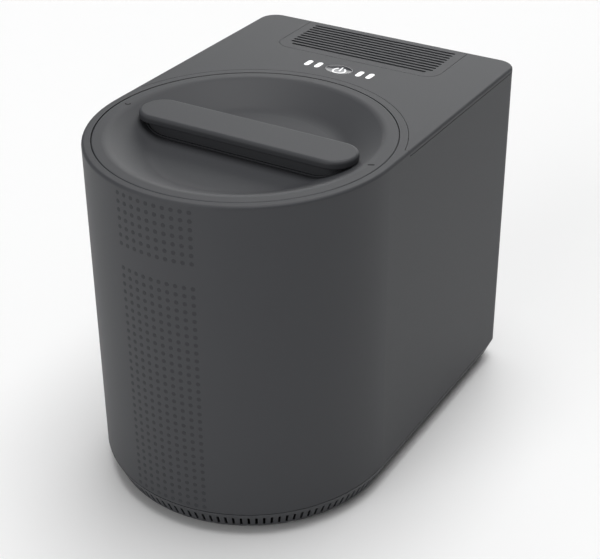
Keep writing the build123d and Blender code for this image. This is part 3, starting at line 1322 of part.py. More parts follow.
# Motor shaft: through the can, down into the gearcase.
with BuildPart() as motor_shaft:
    with BuildSketch(level(IDLER_FOOT - 1, MOTOR_Y)):
        Circle(MOTOR_SHAFT_RADIUS)
    extrude(amount=GEARCASE_TOP + MOTOR_HEIGHT - 4 - IDLER_FOOT)

motor_shaft.part.label = "motor_shaft"
export_step(motor_shaft.part, "parts/motor_shaft.step")

# Motor pinion.
with BuildPart() as motor_pinion:
    with BuildSketch(level(IDLER_FOOT - 0.5, MOTOR_Y)):
        add(gear_outline(PINION_TEETH, IDLER_MODULE, MOTOR_SHAFT_RADIUS, -90 + 180 / PINION_TEETH))
    extrude(amount=IDLER_FACE + 1)

motor_pinion.part.label = "motor_pinion"
export_step(motor_pinion.part, "parts/motor_pinion.step")

# ================================================================ air path
# Filter bay: open-topped box with a divider, standing behind the lid under the filter cover.
BAY_MID = BAY_FRONT + BAY_DEPTH / 2
with BuildPart() as filter_bay:
    with BuildSketch(level(BAY_FLOOR, BAY_MID)):
        Rectangle(BAY_WIDTH, BAY_DEPTH)
    extrude(amount=BAY_TOP - BAY_FLOOR)
    with BuildSketch(level(BAY_FLOOR + BAY_WALL, BAY_MID)):
        with GridLocations(BAY_WIDTH / 2 - BAY_WALL / 2, 1, 2, 1):
            Rectangle((BAY_WIDTH - 3 * BAY_WALL) / 2, BAY_DEPTH - 2 * BAY_WALL)
    extrude(amount=BAY_TOP - BAY_FLOOR - BAY_WALL, mode=Mode.SUBTRACT)
    with BuildSketch(level(BAY_FLOOR, BAY_MID)):
        with GridLocations(BAY_WIDTH / 2 - BAY_WALL / 2, 1, 2, 1):
            Circle(20)
    extrude(amount=BAY_WALL, mode=Mode.SUBTRACT)

filter_bay.part.label = "filter_bay"
export_step(filter_bay.part, "parts/filter_bay.step")

# Filters: two carbon cartridges with slotted tops and a pull tab each.
FILTER_WIDTH = (BAY_WIDTH - 3 * BAY_WALL) / 2 - 2 * FILTER_PLAY
FILTER_DEPTH = BAY_DEPTH - 2 * BAY_WALL - 2 * FILTER_PLAY
FILTER_FOOT = BAY_FLOOR + BAY_WALL + FIT
FILTER_X = BAY_WIDTH / 4 - BAY_WALL / 4


def filter_cartridge(x):
    """One cartridge: carbon block in a moulded frame, slotted above and below."""
    with BuildPart() as cartridge:
        with BuildSketch(level(FILTER_FOOT, BAY_MID, x)):
            RectangleRounded(FILTER_WIDTH, FILTER_DEPTH, 4)
        extrude(amount=FILTER_HEIGHT)
        for foot in (FILTER_FOOT, FILTER_FOOT + FILTER_HEIGHT - 3):
            with BuildSketch(level(foot, BAY_MID, x)):
                with GridLocations(1, 9, 1, 5):
                    Rectangle(FILTER_WIDTH - 14, 4.5)
            extrude(amount=3, mode=Mode.SUBTRACT)
        with BuildSketch(level(FILTER_FOOT + FILTER_HEIGHT, BAY_MID + 22.5, x)):
            Rectangle(22, 2.5)
        extrude(amount=4.0)
    return cartridge.part


filter_left = filter_cartridge(-FILTER_X)
filter_left.label = "filter_left"
export_step(filter_left, "parts/filter_left.step")

filter_right = filter_cartridge(FILTER_X)
filter_right.label = "filter_right"
export_step(filter_right, "parts/filter_right.step")

# Steam duct: from the collar's spout down and back to the blower's inlet.
DUCT_Y = LID_Y + SPOUT_FACE
DUCT_TOP = COLLAR_FLOOR + 17
DUCT_RUN = BAY_MID - 14 - SEAM - DUCT_Y    # back to just short of the blower's outlet
with BuildPart() as steam_duct:
    with BuildSketch(level(DUCT_FLOOR, DUCT_Y)):
        Rectangle(2 * SPOUT_HALF, DUCT_DEPTH, align=(Align.CENTER, Align.MIN))
    extrude(amount=DUCT_TOP - DUCT_FLOOR)
    with BuildSketch(level(DUCT_FLOOR, DUCT_Y)):
        Rectangle(2 * SPOUT_HALF, DUCT_RUN, align=(Align.CENTER, Align.MIN))
    extrude(amount=BAY_FLOOR - DUCT_FLOOR - 1)
    with BuildSketch(level(DUCT_FLOOR + DUCT_WALL, DUCT_Y + DUCT_WALL)):
        Rectangle(2 * (SPOUT_HALF - DUCT_WALL), DUCT_DEPTH - 2 * DUCT_WALL, align=(Align.CENTER, Align.MIN))
    extrude(amount=DUCT_TOP - DUCT_FLOOR - 2 * DUCT_WALL, mode=Mode.SUBTRACT)
    with BuildSketch(level(DUCT_FLOOR + DUCT_WALL, DUCT_Y + DUCT_WALL)):
        Rectangle(2 * (SPOUT_HALF - DUCT_WALL), DUCT_RUN - 2 * DUCT_WALL,
                  align=(Align.CENTER, Align.MIN))
    extrude(amount=BAY_FLOOR - DUCT_FLOOR - 1 - 2 * DUCT_WALL, mode=Mode.SUBTRACT)
    with BuildSketch(Plane(origin=(0, DUCT_Y, COLLAR_FLOOR + 8.5), x_dir=(1, 0, 0), z_dir=(0, -1, 0))):
        Rectangle(2 * SPOUT_HALF - 6, 10)
    extrude(amount=-DUCT_WALL - 1, mode=Mode.SUBTRACT)
    with BuildSketch(level(DUCT_FLOOR, BLOWER_Y)):
        Circle(18)
    extrude(amount=DUCT_WALL, mode=Mode.SUBTRACT)

steam_duct.part.label = "steam_duct"
export_step(steam_duct.part, "parts/steam_duct.step")

# Blower housing: round scroll with an outlet up into the filter bay.
OUTLET_X = -BLOWER_RADIUS + 14
with BuildPart() as blower_housing:
    with BuildSketch(level(BLOWER_FOOT, BLOWER_Y)):
        Circle(BLOWER_RADIUS)
        with Locations((OUTLET_X, 0)):
            Rectangle(28, BAY_MID + 14 - BLOWER_Y, align=(Align.CENTER, Align.MIN))
    extrude(amount=BLOWER_HEIGHT)
    with BuildSketch(level(BLOWER_TOP, BAY_MID, OUTLET_X)):
        Rectangle(28, 28)
    extrude(amount=BAY_FLOOR - BLOWER_TOP)
    with BuildSketch(level(BLOWER_FOOT + 2, BLOWER_Y)):
        Circle(BLOWER_RADIUS - 2)
        with Locations((OUTLET_X, 0)):
            Rectangle(24, BAY_MID + 12 - BLOWER_Y, align=(Align.CENTER, Align.MIN))
    extrude(amount=BLOWER_HEIGHT - 4, mode=Mode.SUBTRACT)
    with BuildSketch(level(BLOWER_TOP - 3, BAY_MID, OUTLET_X)):
        Rectangle(24, 24)
    extrude(amount=BAY_FLOOR - BLOWER_TOP + 3, mode=Mode.SUBTRACT)
    with BuildSketch(level(BLOWER_TOP - 2, BLOWER_Y)):
        Circle(18)
    extrude(amount=2, mode=Mode.SUBTRACT)
    # collar up to the duct
    with BuildSketch(level(BLOWER_TOP, BLOWER_Y)):
        Circle(20)
        Circle(18, mode=Mode.SUBTRACT)
    extrude(amount=DUCT_FLOOR - BLOWER_TOP)
    with BuildSketch(level(BLOWER_FOOT, BLOWER_Y)):
        Circle(3.5)
    extrude(amount=2, mode=Mode.SUBTRACT)

blower_housing.part.label = "blower_housing"
export_step(blower_housing.part, "parts/blower_housing.step")

# Impeller: backplate with a ring of forward-curved blades.
with BuildPart() as impeller:
    with BuildSketch(level(BLOWER_FOOT + 4, BLOWER_Y)):
        Circle(IMPELLER_RADIUS)
    extrude(amount=2)
    with BuildSketch(level(BLOWER_FOOT + 4, BLOWER_Y)):
        Circle(9)
    extrude(amount=16)
    with BuildSketch(level(BLOWER_FOOT + 5, BLOWER_Y)):
        with PolarLocations(IMPELLER_RADIUS - 6.5, IMPELLER_BLADES):
            Rectangle(12, 1.4, rotation=35)
    extrude(amount=BLOWER_HEIGHT - 11)
    with BuildSketch(level(BLOWER_FOOT - 8, BLOWER_Y)):
        Circle(2.5)
    extrude(amount=13)

impeller.part.label = "impeller"
export_step(impeller.part, "parts/impeller.step")

# Blower motor, hung under the housing.
with BuildPart() as blower_motor:
    with BuildSketch(level(BLOWER_FOOT - 16, BLOWER_Y)):
        Circle(17)
    extrude(amount=16)
    chamfer(blower_motor.edges().group_by(Axis.Z)[0], 2)
    with BuildSketch(level(BLOWER_FOOT - 9, BLOWER_Y)):
        Circle(2.5 + RUNNING)
    extrude(amount=9, mode=Mode.SUBTRACT)

blower_motor.part.label = "blower_motor"
export_step(blower_motor.part, "parts/blower_motor.step")

# ================================================================ controls
# Power button: oval cap with a dished face, on a stem over the switch.
SWITCH_TOP = BOARD_TOP + 4.0
button_bowl = scale(Sphere(1), by=(BUTTON_LENGTH / 2 - 0.8, BUTTON_WIDTH / 2 - 0.8, BUTTON_DISH))
with BuildPart() as power_button:
    with BuildSketch(level(HEIGHT - 7, CONTROL_Y)):
        Ellipse(BUTTON_LENGTH / 2, BUTTON_WIDTH / 2)
    extrude(amount=7)
    with BuildSketch(level(HEIGHT - 7, CONTROL_Y)):
        Circle(2.5)
    extrude(amount=-(HEIGHT - 7 - SWITCH_TOP - BUTTON_TRAVEL - 0.2))
    with Locations((0, CONTROL_Y, HEIGHT)):
        add(button_bowl, mode=Mode.SUBTRACT)

power_button.part.label = "power_button"
export_step(power_button.part, "parts/power_button.step")

# Control board: screwed under the rear cover, with a lamp under each window.
with BuildPart() as control_board:
    with BuildSketch(level(BOARD_TOP - 1.6, CONTROL_Y)):
        Rectangle(104, 32)
        with GridLocations(92, 22, 2, 2):
            Circle(1.25, mode=Mode.SUBTRACT)
    extrude(amount=1.6)
    with BuildSketch(level(BOARD_TOP)):
        with Locations(*LAMPS):
            Rectangle(3.5, 2.8)
    extrude(amount=1.5)

control_board.part.label = "control_board"
export_step(control_board.part, "parts/control_board.step")

# Tact switch: its plunger stands just under the button's stem.
with BuildPart() as tact_switch:
    with BuildSketch(level(BOARD_TOP, CONTROL_Y)):
        Rectangle(6, 6)
    extrude(amount=3)
    with BuildSketch(level(BOARD_TOP + 3, CONTROL_Y)):
        Circle(1.7)
    extrude(amount=SWITCH_TOP - BOARD_TOP - 3)

tact_switch.part.label = "tact_switch"
export_step(tact_switch.part, "parts/tact_switch.step")

# Lamp guides: clear windows that carry each lamp's light up to the cover's face.
with BuildPart() as lamp_guides:
    with BuildSketch(level(BOARD_TOP + 1.5)):
        with Locations(*LAMPS):
            SlotOverall(LAMP_LENGTH - 2, LAMP_WIDTH - 1.6, rotation=90)
    extrude(amount=HEIGHT - 4 - BOARD_TOP - 1.5)
    with BuildSketch(level(HEIGHT - 4)):
        with Locations(*LAMPS):
            SlotOverall(LAMP_LENGTH - 0.2, LAMP_WIDTH - 0.2, rotation=90)
    extrude(amount=4)

lamp_guides.part.label = "lamp_guides"
export_step(lamp_guides.part, "parts/lamp_guides.step")

# Board screws, up into the cover's posts.
with BuildPart() as board_screws:
    with BuildSketch(level(BOARD_TOP - 3.4)):
        with Locations(*BOARD_POSTS):
            Circle(2.5)
    extrude(amount=1.8)
    with BuildSketch(level(BOARD_TOP - 1.6)):
        with Locations(*BOARD_POSTS):
            Circle(1.2)
    extrude(amount=7.6)

board_screws.part.label = "board_screws"
export_step(board_screws.part, "parts/board_screws.step")

# Power inlet: three-pin appliance socket in the rear wall.
INLET_DEEP = 18.0
INLET_BACK = 2.0
PIN_SETBACK = 5.0
PIN_TAB = 7.0


def inlet_blades():
    """The three blades in section: two level, and the earth between and above them."""
    with BuildSketch() as blades:
        with Locations((-7, -3), (7, -3), (0, 2)):
            Rectangle(2, 4)
    return blades.sketch


with BuildPart() as power_inlet:
    with BuildSketch(INLET_FACE):
        RectangleRounded(INLET_LENGTH, INLET_WIDTH, 3.8)
        with GridLocations(INLET_SCREWS, 1, 2, 1):
            Circle(INLET_SCREW + 0.05, mode=Mode.SUBTRACT)
    extrude(amount=-INLET_SUNK)
    with BuildSketch(INLET_FACE.offset(-INLET_SUNK)):
        Rectangle(*INLET_BODY)
    extrude(amount=-(INLET_DEEP + INLET_BACK - INLET_SUNK))
    with BuildSketch(INLET_FACE):
        with BuildLine():
            Polyline((-12, -8), (12, -8), (12, 3), (8, 8), (-8, 8), (-12, 3), close=True)
        make_face()
    extrude(amount=-INLET_DEEP, mode=Mode.SUBTRACT)
    with BuildSketch(INLET_FACE.offset(-INLET_DEEP)):
        add(inlet_blades())
    extrude(amount=-INLET_BACK, mode=Mode.SUBTRACT)

power_inlet.part.label = "power_inlet"
export_step(power_inlet.part, "parts/power_inlet.step")

# Inlet pins: three blades through the inlet's back, with their ends left as tabs.
with BuildPart() as inlet_pins:
    with BuildSketch(INLET_FACE.offset(-PIN_SETBACK)):
        add(inlet_blades())
    extrude(amount=PIN_SETBACK - INLET_DEEP - INLET_BACK - PIN_TAB)

inlet_pins.part.label = "inlet_pins"
export_step(inlet_pins.part, "parts/inlet_pins.step")

# Inlet screws.
with BuildPart() as inlet_screws:
    with BuildSketch(INLET_FACE.offset(-0.8)):
        with GridLocations(INLET_SCREWS, 1, 2, 1):
            Circle(INLET_SCREW)
    extrude(amount=-8)

inlet_screws.part.label = "inlet_screws"
export_step(inlet_screws.part, "parts/inlet_screws.step")

# Lid switch: microswitch beside the collar that tells the board the lid is shut.
with BuildPart() as lid_switch:
    with BuildSketch(level(COLLAR_FLOOR + 4, LID_Y + COLLAR_RADIUS * 0.80, COLLAR_RADIUS * 0.80)):
        Rectangle(10, 20)
    extrude(amount=12)

lid_switch.part.label = "lid_switch"
export_step(lid_switch.part, "parts/lid_switch.step")
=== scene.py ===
"""Finishes, moulded details and stage of a countertop food waste composter, in metres, +Z up."""

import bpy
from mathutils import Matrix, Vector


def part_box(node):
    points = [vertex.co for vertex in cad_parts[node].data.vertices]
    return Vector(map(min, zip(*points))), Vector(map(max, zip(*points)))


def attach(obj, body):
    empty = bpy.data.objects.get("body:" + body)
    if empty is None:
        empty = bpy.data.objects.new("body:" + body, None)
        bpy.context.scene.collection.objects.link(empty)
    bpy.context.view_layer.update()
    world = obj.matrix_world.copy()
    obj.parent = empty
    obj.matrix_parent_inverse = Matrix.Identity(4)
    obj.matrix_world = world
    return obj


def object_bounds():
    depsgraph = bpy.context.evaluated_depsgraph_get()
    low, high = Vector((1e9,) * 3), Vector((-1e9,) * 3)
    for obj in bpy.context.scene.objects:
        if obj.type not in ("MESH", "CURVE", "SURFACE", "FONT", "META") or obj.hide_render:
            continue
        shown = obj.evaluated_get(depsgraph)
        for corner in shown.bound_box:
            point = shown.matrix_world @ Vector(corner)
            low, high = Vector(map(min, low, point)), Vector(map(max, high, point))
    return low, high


bl_info = {
    "name": "Food waste composter",
    "version": (1, 0, 0),
    "blender": (4, 5, 0),
    "location": "3D View > Sidebar > Composter",
    "description": "Finishes, moulded details and stage of a countertop food waste composter",
    "category": "Object",
}

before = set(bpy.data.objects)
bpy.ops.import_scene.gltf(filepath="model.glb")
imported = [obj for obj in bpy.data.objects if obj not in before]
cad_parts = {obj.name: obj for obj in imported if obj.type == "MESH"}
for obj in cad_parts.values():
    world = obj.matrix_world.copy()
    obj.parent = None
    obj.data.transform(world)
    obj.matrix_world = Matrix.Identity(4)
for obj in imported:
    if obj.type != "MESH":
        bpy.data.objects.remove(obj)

from math import cos, pi, radians, sin

import bpy
from mathutils import Matrix, Vector
from mathutils.bvhtree import BVHTree

MM = 0.001
CAD_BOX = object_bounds()
SHELL_LOW, SHELL_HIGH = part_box("outer_shell")
LID_LOW, LID_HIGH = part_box("lid_dish")
BUTTON_LOW, BUTTON_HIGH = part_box("power_button")
NOSE_RADIUS = SHELL_HIGH.x
LID_CENTRE = (LID_LOW + LID_HIGH) / 2
BUTTON_CENTRE = (BUTTON_LOW + BUTTON_HIGH) / 2

NOISE_LOW, NOISE_HIGH = 0.3, 0.7         # a noise pattern seldom leaves this range

# Nose dimples: heights between which there are none, and the shape of one.
PLAIN_BAND = (0.245, 0.266)
DIMPLE_SIDES = 12
# Dimples are coloured darker than the casing as painted shade for their hollows.
DIMPLE_SHADE = 0.9                       # share of the casing's colour left in it
DIMPLE_MIDDLE = 0.03 * MM                # its middle above the shell's face
DIMPLE_ROOT = 0.3 * MM                   # its closed underside below the shell's face
# Share of its radius, and height above the shell's face: a raised lip, hollow inside.
DIMPLE_PROFILE = ((0.55, 0.04 * MM), (0.85, 0.07 * MM), (0.97, 0.10 * MM), (1.0, 0.04 * MM),
                  (1.0, -DIMPLE_ROOT))

# Strokes, such as the lid's marks and the power symbol.
STROKE_PROUD = 0.12 * MM                 # face above the carrier's
STROKE_EDGE = 0.05 * MM                  # edge below the carrier's face
STROKE_ROOT = 0.6 * MM                   # closed underside below the carrier's face
END_STEPS = 6                            # stations in a rounded end
RAY_HEIGHT = CAD_BOX[1].z + 0.1          # above everything, to look down on a carrier from
# A lid mark's dark colour is painted shade, standing in for the shade on the lid's small moulded marks.
MARK_SHADE = 0.15                        # share of the casing's colour left in a lid mark
HOOK_ANGLES = range(-80, 81, 10)         # round the hooked mark, in degrees
SYMBOL_GAP = 38                          # symbol's top to each end of its ring, in degrees
SYMBOL_STEPS = 48                        # stations along the ring
BAR_SPAN = (0.1, 1.15)                   # ends of the symbol's bar, as shares of the ring's radius
BAR_STEPS = 8
# The glow on the button round its symbol is painted light: emission on the button itself.
PAINTED_GLOW_REACH = (5.5 * MM, 9.5 * MM)        # button's middle to where its glow starts and ends to fade

# Stage.
FLOOR_REACH = 40.0                       # middle of the floor to each of its sides
SOFTBOX_SPREAD = radians(45)             # how wide each softbox looks from the object
# Where each softbox stands: degrees clockwise from straight behind, and degrees above the floor.
OVERHEAD_PLACE = (15, 82)
REAR_PLACE = (-19, 15)
FRONT_PLACE = (195, 15)


# ---------------------------------------------------------------- colour and nodes
def linear(hex_colour):
    """An sRGB hex colour, such as "#4C4D50", as the linear RGBA that shaders take."""
    shares = [int(hex_colour[i:i + 2], 16) / 255 for i in (1, 3, 5)]
    return [c / 12.92 if c <= 0.04045 else ((c + 0.055) / 1.055) ** 2.4 for c in shares] + [1.0]


def toned(colour, share):
    """A linear colour made darker or lighter by a share."""
    return [tone * share for tone in colour[:3]] + [1.0]


def per_metre(size_mm):
    """Texture scale at which one feature is about size_mm across."""
    return 1 / (size_mm * MM)


def add_node(tree, kind, values=None, **settings):
    """Adds a node. Settings are its own properties; values fill or link its input sockets."""
    node = tree.nodes.new(kind)
    for name, setting in settings.items():
        setattr(node, name, setting)
    for socket, value in (values or {}).items():
        if isinstance(value, bpy.types.NodeSocket):
            tree.links.new(value, node.inputs[socket])
        else:
            node.inputs[socket].default_value = value
    return node


def new_material(name, **shader):
    """A material with a principled shader, whose even values are set on the shader's own sockets."""
    material = bpy.data.materials.new(name)
    material.use_nodes = True
    tree = material.node_tree
    surface = tree.nodes["Principled BSDF"]
    for socket, value in shader.items():
        surface.inputs[socket.replace("_", " ")].default_value = value
    return material, tree, surface


def grain(tree, surface, size_mm, depth_mm, gloss, stretch=(1, 1, 1), detail=3.0):
    """Grain about size_mm across that stands depth_mm high and moves the roughness within gloss.

    A stretch above 1 draws the grain out along that axis. Returns the grain's height, 0 to 1.
    """
    place = add_node(tree, "ShaderNodeTexCoord").outputs["Object"]
    drawn = add_node(tree, "ShaderNodeMapping", {"Vector": place, "Scale": [1 / s for s in stretch]})
    height = add_node(tree, "ShaderNodeTexNoise", {
        "Vector": drawn.outputs["Vector"], "Scale": per_metre(size_mm), "Detail": detail,
        "Roughness": 0.6}).outputs["Fac"]
    rough = add_node(tree, "ShaderNodeMapRange", {
        "Value": height, "From Min": NOISE_LOW, "From Max": NOISE_HIGH,
        "To Min": gloss[0], "To Max": gloss[1]})
    tree.links.new(rough.outputs["Result"], surface.inputs["Roughness"])
    relief = add_node(tree, "ShaderNodeBump", {"Height": height, "Distance": depth_mm * MM})
    tree.links.new(relief.outputs["Normal"], surface.inputs["Normal"])
    return height


def two_tone(tree, surface, share, first, second, low=NOISE_LOW, high=NOISE_HIGH):
    """Colours the surface from first to second as share goes from low to high."""
    # A mix node in colour mode takes its factor at socket 0 and its colours at 6 and 7.
    ramp = add_node(tree, "ShaderNodeMapRange", {"Value": share, "From Min": low, "From Max": high})
    shade = add_node(tree, "ShaderNodeMix", {0: ramp.outputs["Result"], 6: first, 7: second},
                     data_type="RGBA")
    tree.links.new(shade.outputs[2], surface.inputs["Base Color"])


# ---------------------------------------------------------------- materials
def spark_textured_abs(colour, roughness, grain_mm):
    """Casing, lid and handle: charcoal ABS, moulded in a spark-eroded tool."""
    # Matt and even: a fine grain scatters every highlight into a broad soft one. The real grain
    # is about 0.1 mm across and is drawn coarser, so that it shows at all.
    # So rough a skin hardly brightens at a grazing angle, hence the low specular level.
    material, tree, surface = new_material(
        "charcoal_abs_spark_textured", IOR=1.54, Specular_IOR_Level=0.3)
    height = grain(tree, surface, grain_mm, 0.012, (roughness - 0.05, roughness + 0.05))
    two_tone(tree, surface, height, toned(colour, 0.97), toned(colour, 1.07), 0.35, 0.65)
    return material


def painted_shade_abs(name, colour, share):
    """Dimples and lid marks: the casing's ABS with painted shade, darkened as it looks inside a small
    moulded recess.
    """
    # Dull, and only a share of the casing's colour as painted shade: little light comes back out of a
    # recess.
    material, tree, surface = new_material(name, IOR=1.54, Specular_IOR_Level=0.2)
    height = grain(tree, surface, 0.4, 0.01, (0.6, 0.75))
    two_tone(tree, surface, height, toned(colour, share * 0.9), toned(colour, share * 1.1))
    return material


def polished_button_abs(glow):
    """Power button: charcoal ABS, moulded in a polished tool, with a painted glow round its symbol."""
    # Glossy, so its dish gathers a bright crescent. Round the symbol it has painted light: emission on the
    # button itself that fades out from its middle.
    material, tree, surface = new_material(
        "charcoal_abs_polished_painted_glow", IOR=1.54, Emission_Color=linear("#F2F5FA"))
    height = grain(tree, surface, 6.0, 0.01, (0.12, 0.2))
    two_tone(tree, surface, height, linear("#35363A"), linear("#3A3B3F"))
    place = add_node(tree, "ShaderNodeTexCoord").outputs["Object"]
    reach = add_node(tree, "ShaderNodeVectorMath", {0: place, 1: BUTTON_CENTRE}, operation="DISTANCE")
    painted_glow_fade = add_node(tree, "ShaderNodeMapRange", {
        "Value": reach.outputs["Value"], "From Min": PAINTED_GLOW_REACH[0], "From Max": PAINTED_GLOW_REACH[1],
        "To Min": glow, "To Max": 0.0}, interpolation_type="SMOOTHSTEP")
    tree.links.new(painted_glow_fade.outputs["Result"], surface.inputs["Emission Strength"])
    return material


def lit_acrylic(name, strength):
    """Light guides and power symbol: clear cast acrylic over a white lamp."""
    # Reads as a flat white glow with a smooth glossy face over it. The clear body itself is dim.
    material, tree, surface = new_material(
        name, IOR=1.49, Base_Color=linear("#77797C"), Emission_Color=linear("#FFFFFF"),
        Emission_Strength=strength)
    grain(tree, surface, 3.0, 0.005, (0.08, 0.16))
    return material


def moulded_elastomer(name, low, high, roughness):
    """Feet and seals: compression-moulded rubber or silicone."""
    # Dull, with a paler dusty bloom in patches a millimetre or two across.
    material, tree, surface = new_material(name, IOR=1.45)
    height = grain(tree, surface, 1.6, 0.015, (roughness - 0.08, roughness + 0.08), detail=5.0)
    two_tone(tree, surface, height, linear(low), linear(high), 0.4, 0.75)
    return material


def glass_filled_nylon():
    """Inside mouldings: black polyamide with short glass fibres."""
    # Satin black, with greyish fibre streaks that show as fine scratches along the flow.
    material, tree, surface = new_material("black_glass_filled_nylon", IOR=1.53)
    height = grain(tree, surface, 0.5, 0.015, (0.38, 0.58), stretch=(1, 1, 7), detail=4.0)
    two_tone(tree, surface, height, linear("#161617"), linear("#2C2C2E"), 0.45, 0.8)
    return material


def polypropylene_frame():
    """Filter cartridges: black polypropylene, plainly moulded."""
    # Waxy and softer looking than the nylon, with broad sink marks instead of streaks.
    material, tree, surface = new_material("black_polypropylene", IOR=1.49)
    height = grain(tree, surface, 9.0, 0.06, (0.42, 0.6))
    two_tone(tree, surface, height, linear("#1A1A1B"), linear("#222223"))
    return material


def polycarbonate_gloss():
    """Mains inlet: black polycarbonate from a polished tool."""
    # Glossy with a faint ripple, so edges catch thin bright lines.
    material, tree, surface = new_material("black_polycarbonate_gloss", IOR=1.58)
    height = grain(tree, surface, 4.0, 0.01, (0.14, 0.24))
    two_tone(tree, surface, height, linear("#0E0E0F"), linear("#141416"))
    return material


def brushed_stainless():
    """Well, bail, teeth, shafts and chassis: stainless steel, brushed round or along."""
    # Brush lines 0.4 mm apart, longer than real ones, which draw highlights out into bands.
    material, tree, surface = new_material("stainless_steel_brushed", Metallic=1.0)
    height = grain(tree, surface, 0.4, 0.012, (0.22, 0.42), stretch=(14, 14, 1), detail=4.0)
    two_tone(tree, surface, height, linear("#A9A7A3"), linear("#C9C7C3"))
    return material


def nonstick_cast_aluminium():
    """Bucket: cast aluminium with a sprayed fluoropolymer coat."""
    # Soft black sheen, pebbled by the spray, with pale mineral specks in it.
    material, tree, surface = new_material("aluminium_fluoropolymer_coated", IOR=1.38)
    grain(tree, surface, 0.9, 0.02, (0.3, 0.45))
    place = add_node(tree, "ShaderNodeTexCoord").outputs["Object"]
    specks = add_node(tree, "ShaderNodeTexVoronoi", {"Vector": place, "Scale": per_metre(2.2)})
    two_tone(tree, surface, specks.outputs["Distance"], linear("#77777A"), linear("#242426"), 0.1, 0.16)
    return material


def cast_aluminium(name, grain_mm, depth_mm, low, high):
    """Agitator, heater plate and gearcase: aluminium as it comes from the mould."""
    # Pale grey and frosted, with the mould's skin in it and no polish.
    material, tree, surface = new_material(name, Metallic=1.0)
    height = grain(tree, surface, grain_mm, depth_mm, (0.4, 0.62), detail=5.0)
    two_tone(tree, surface, height, linear(low), linear(high))
    return material


def zinc_plate():
    """Screws and thermostat cap: bright zinc plate, clear passivated."""
    # Bluish silver with a faint iridescent mottle a millimetre or two across.
    material, tree, surface = new_material("steel_bright_zinc_plated", Metallic=1.0)
    height = grain(tree, surface, 1.4, 0.005, (0.2, 0.36))
    two_tone(tree, surface, height, linear("#AEB4BB"), linear("#BDB9B0"), 0.35, 0.65)
    return material


def nickel_plate():
    """Inlet's contact blades: nickel-plated brass."""
    # Warm silver and smooth, with fine wear lines along the blades.
    material, tree, surface = new_material("brass_nickel_plated", Metallic=1.0)
    height = grain(tree, surface, 0.3, 0.004, (0.14, 0.26), stretch=(1, 20, 1))
    two_tone(tree, surface, height, linear("#BDB6AA"), linear("#CCC6BA"))
    return material


def sintered_bronze():
    """Plain bearings: oil-filled bronze pressed from powder."""
    # Brown gold, dulled by oil, with dark pores where the powder's grains meet.
    material, tree, surface = new_material("bronze_sintered", Metallic=1.0)
    grain(tree, surface, 0.6, 0.02, (0.35, 0.55))
    place = add_node(tree, "ShaderNodeTexCoord").outputs["Object"]
    pores = add_node(tree, "ShaderNodeTexVoronoi", {"Vector": place, "Scale": per_metre(0.7)},
                     feature="DISTANCE_TO_EDGE")
    two_tone(tree, surface, pores.outputs["Distance"], linear("#4A3419"), linear("#97713F"), 0.02, 0.12)
    return material


def hobbed_steel():
    """Gears: case-hardened steel, hobbed and oiled."""
    # Blue-grey, with cutter marks a millimetre apart up each tooth and a film of oil.
    material, tree, surface = new_material("gear_steel_hobbed", Metallic=1.0, Coat_Weight=0.3)
    height = grain(tree, surface, 0.25, 0.008, (0.24, 0.4), stretch=(8, 8, 1), detail=2.0)
    place = add_node(tree, "ShaderNodeTexCoord").outputs["Object"]
    cuts = add_node(tree, "ShaderNodeTexWave", {
        "Vector": place, "Scale": per_metre(1.0) / 20, "Distortion": 0.6, "Detail": 1.0},
        bands_direction="Z")
    blend = add_node(tree, "ShaderNodeMath", {0: height, 1: cuts.outputs["Fac"]}, operation="MULTIPLY")
    two_tone(tree, surface, blend.outputs["Value"], linear("#5F6267"), linear("#93959A"), 0.0, 0.6)
    return material


def powder_coated_steel():
    """Motor cans: drawn steel, powder coated black."""
    # Semi-gloss with orange peel about 2 mm across.
    material, tree, surface = new_material("steel_powder_coated_black", IOR=1.5)
    height = grain(tree, surface, 2.0, 0.03, (0.3, 0.42), detail=1.0)
    two_tone(tree, surface, height, linear("#18191B"), linear("#232427"))
    return material


def glass_fibre_felt():
    """Insulation round the well: needled glass-fibre felt."""
    # Off-white and quite matt, with a tangle of fibres drawn much coarser than they are.
    material, tree, surface = new_material("glass_fibre_felt", IOR=1.5, Sheen_Weight=0.4)
    height = grain(tree, surface, 1.2, 0.3, (0.88, 1.0), stretch=(4, 4, 1), detail=6.0)
    two_tone(tree, surface, height, linear("#B4AE9C"), linear("#E6E2D6"))
    return material


def solder_masked_laminate():
    """Control board: woven glass laminate under green solder mask."""
    # Glossy green, with the weave's 0.8 mm squares just showing through.
    material, tree, surface = new_material("glass_laminate_green_mask", IOR=1.5, Coat_Weight=0.5)
    grain(tree, surface, 1.0, 0.004, (0.25, 0.35))
    place = add_node(tree, "ShaderNodeTexCoord").outputs["Object"]
    weave = add_node(tree, "ShaderNodeTexChecker", {
        "Vector": place, "Color1": linear("#0C4524"), "Color2": linear("#10512B"),
        "Scale": per_metre(0.8)})
    tree.links.new(weave.outputs["Color"], surface.inputs["Base Color"])
    return material


def finish(node_names, material):
    """Gives CAD nodes a material in place of the one they came with."""
    for name in node_names:
        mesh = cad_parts[name].data
        mesh.materials.clear()
        mesh.materials.append(material)


# ---------------------------------------------------------------- mesh making
def add_piece(name, points, faces, material, body):
    """A smooth piece of the finished object, which moves with a body."""
    mesh = bpy.data.meshes.new(name)
    mesh.from_pydata(points, [], faces)
    mesh.shade_smooth()
    mesh.materials.append(material)
    piece = bpy.data.objects.new(name, mesh)
    bpy.context.scene.collection.objects.link(piece)
    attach(piece, body)
    return piece


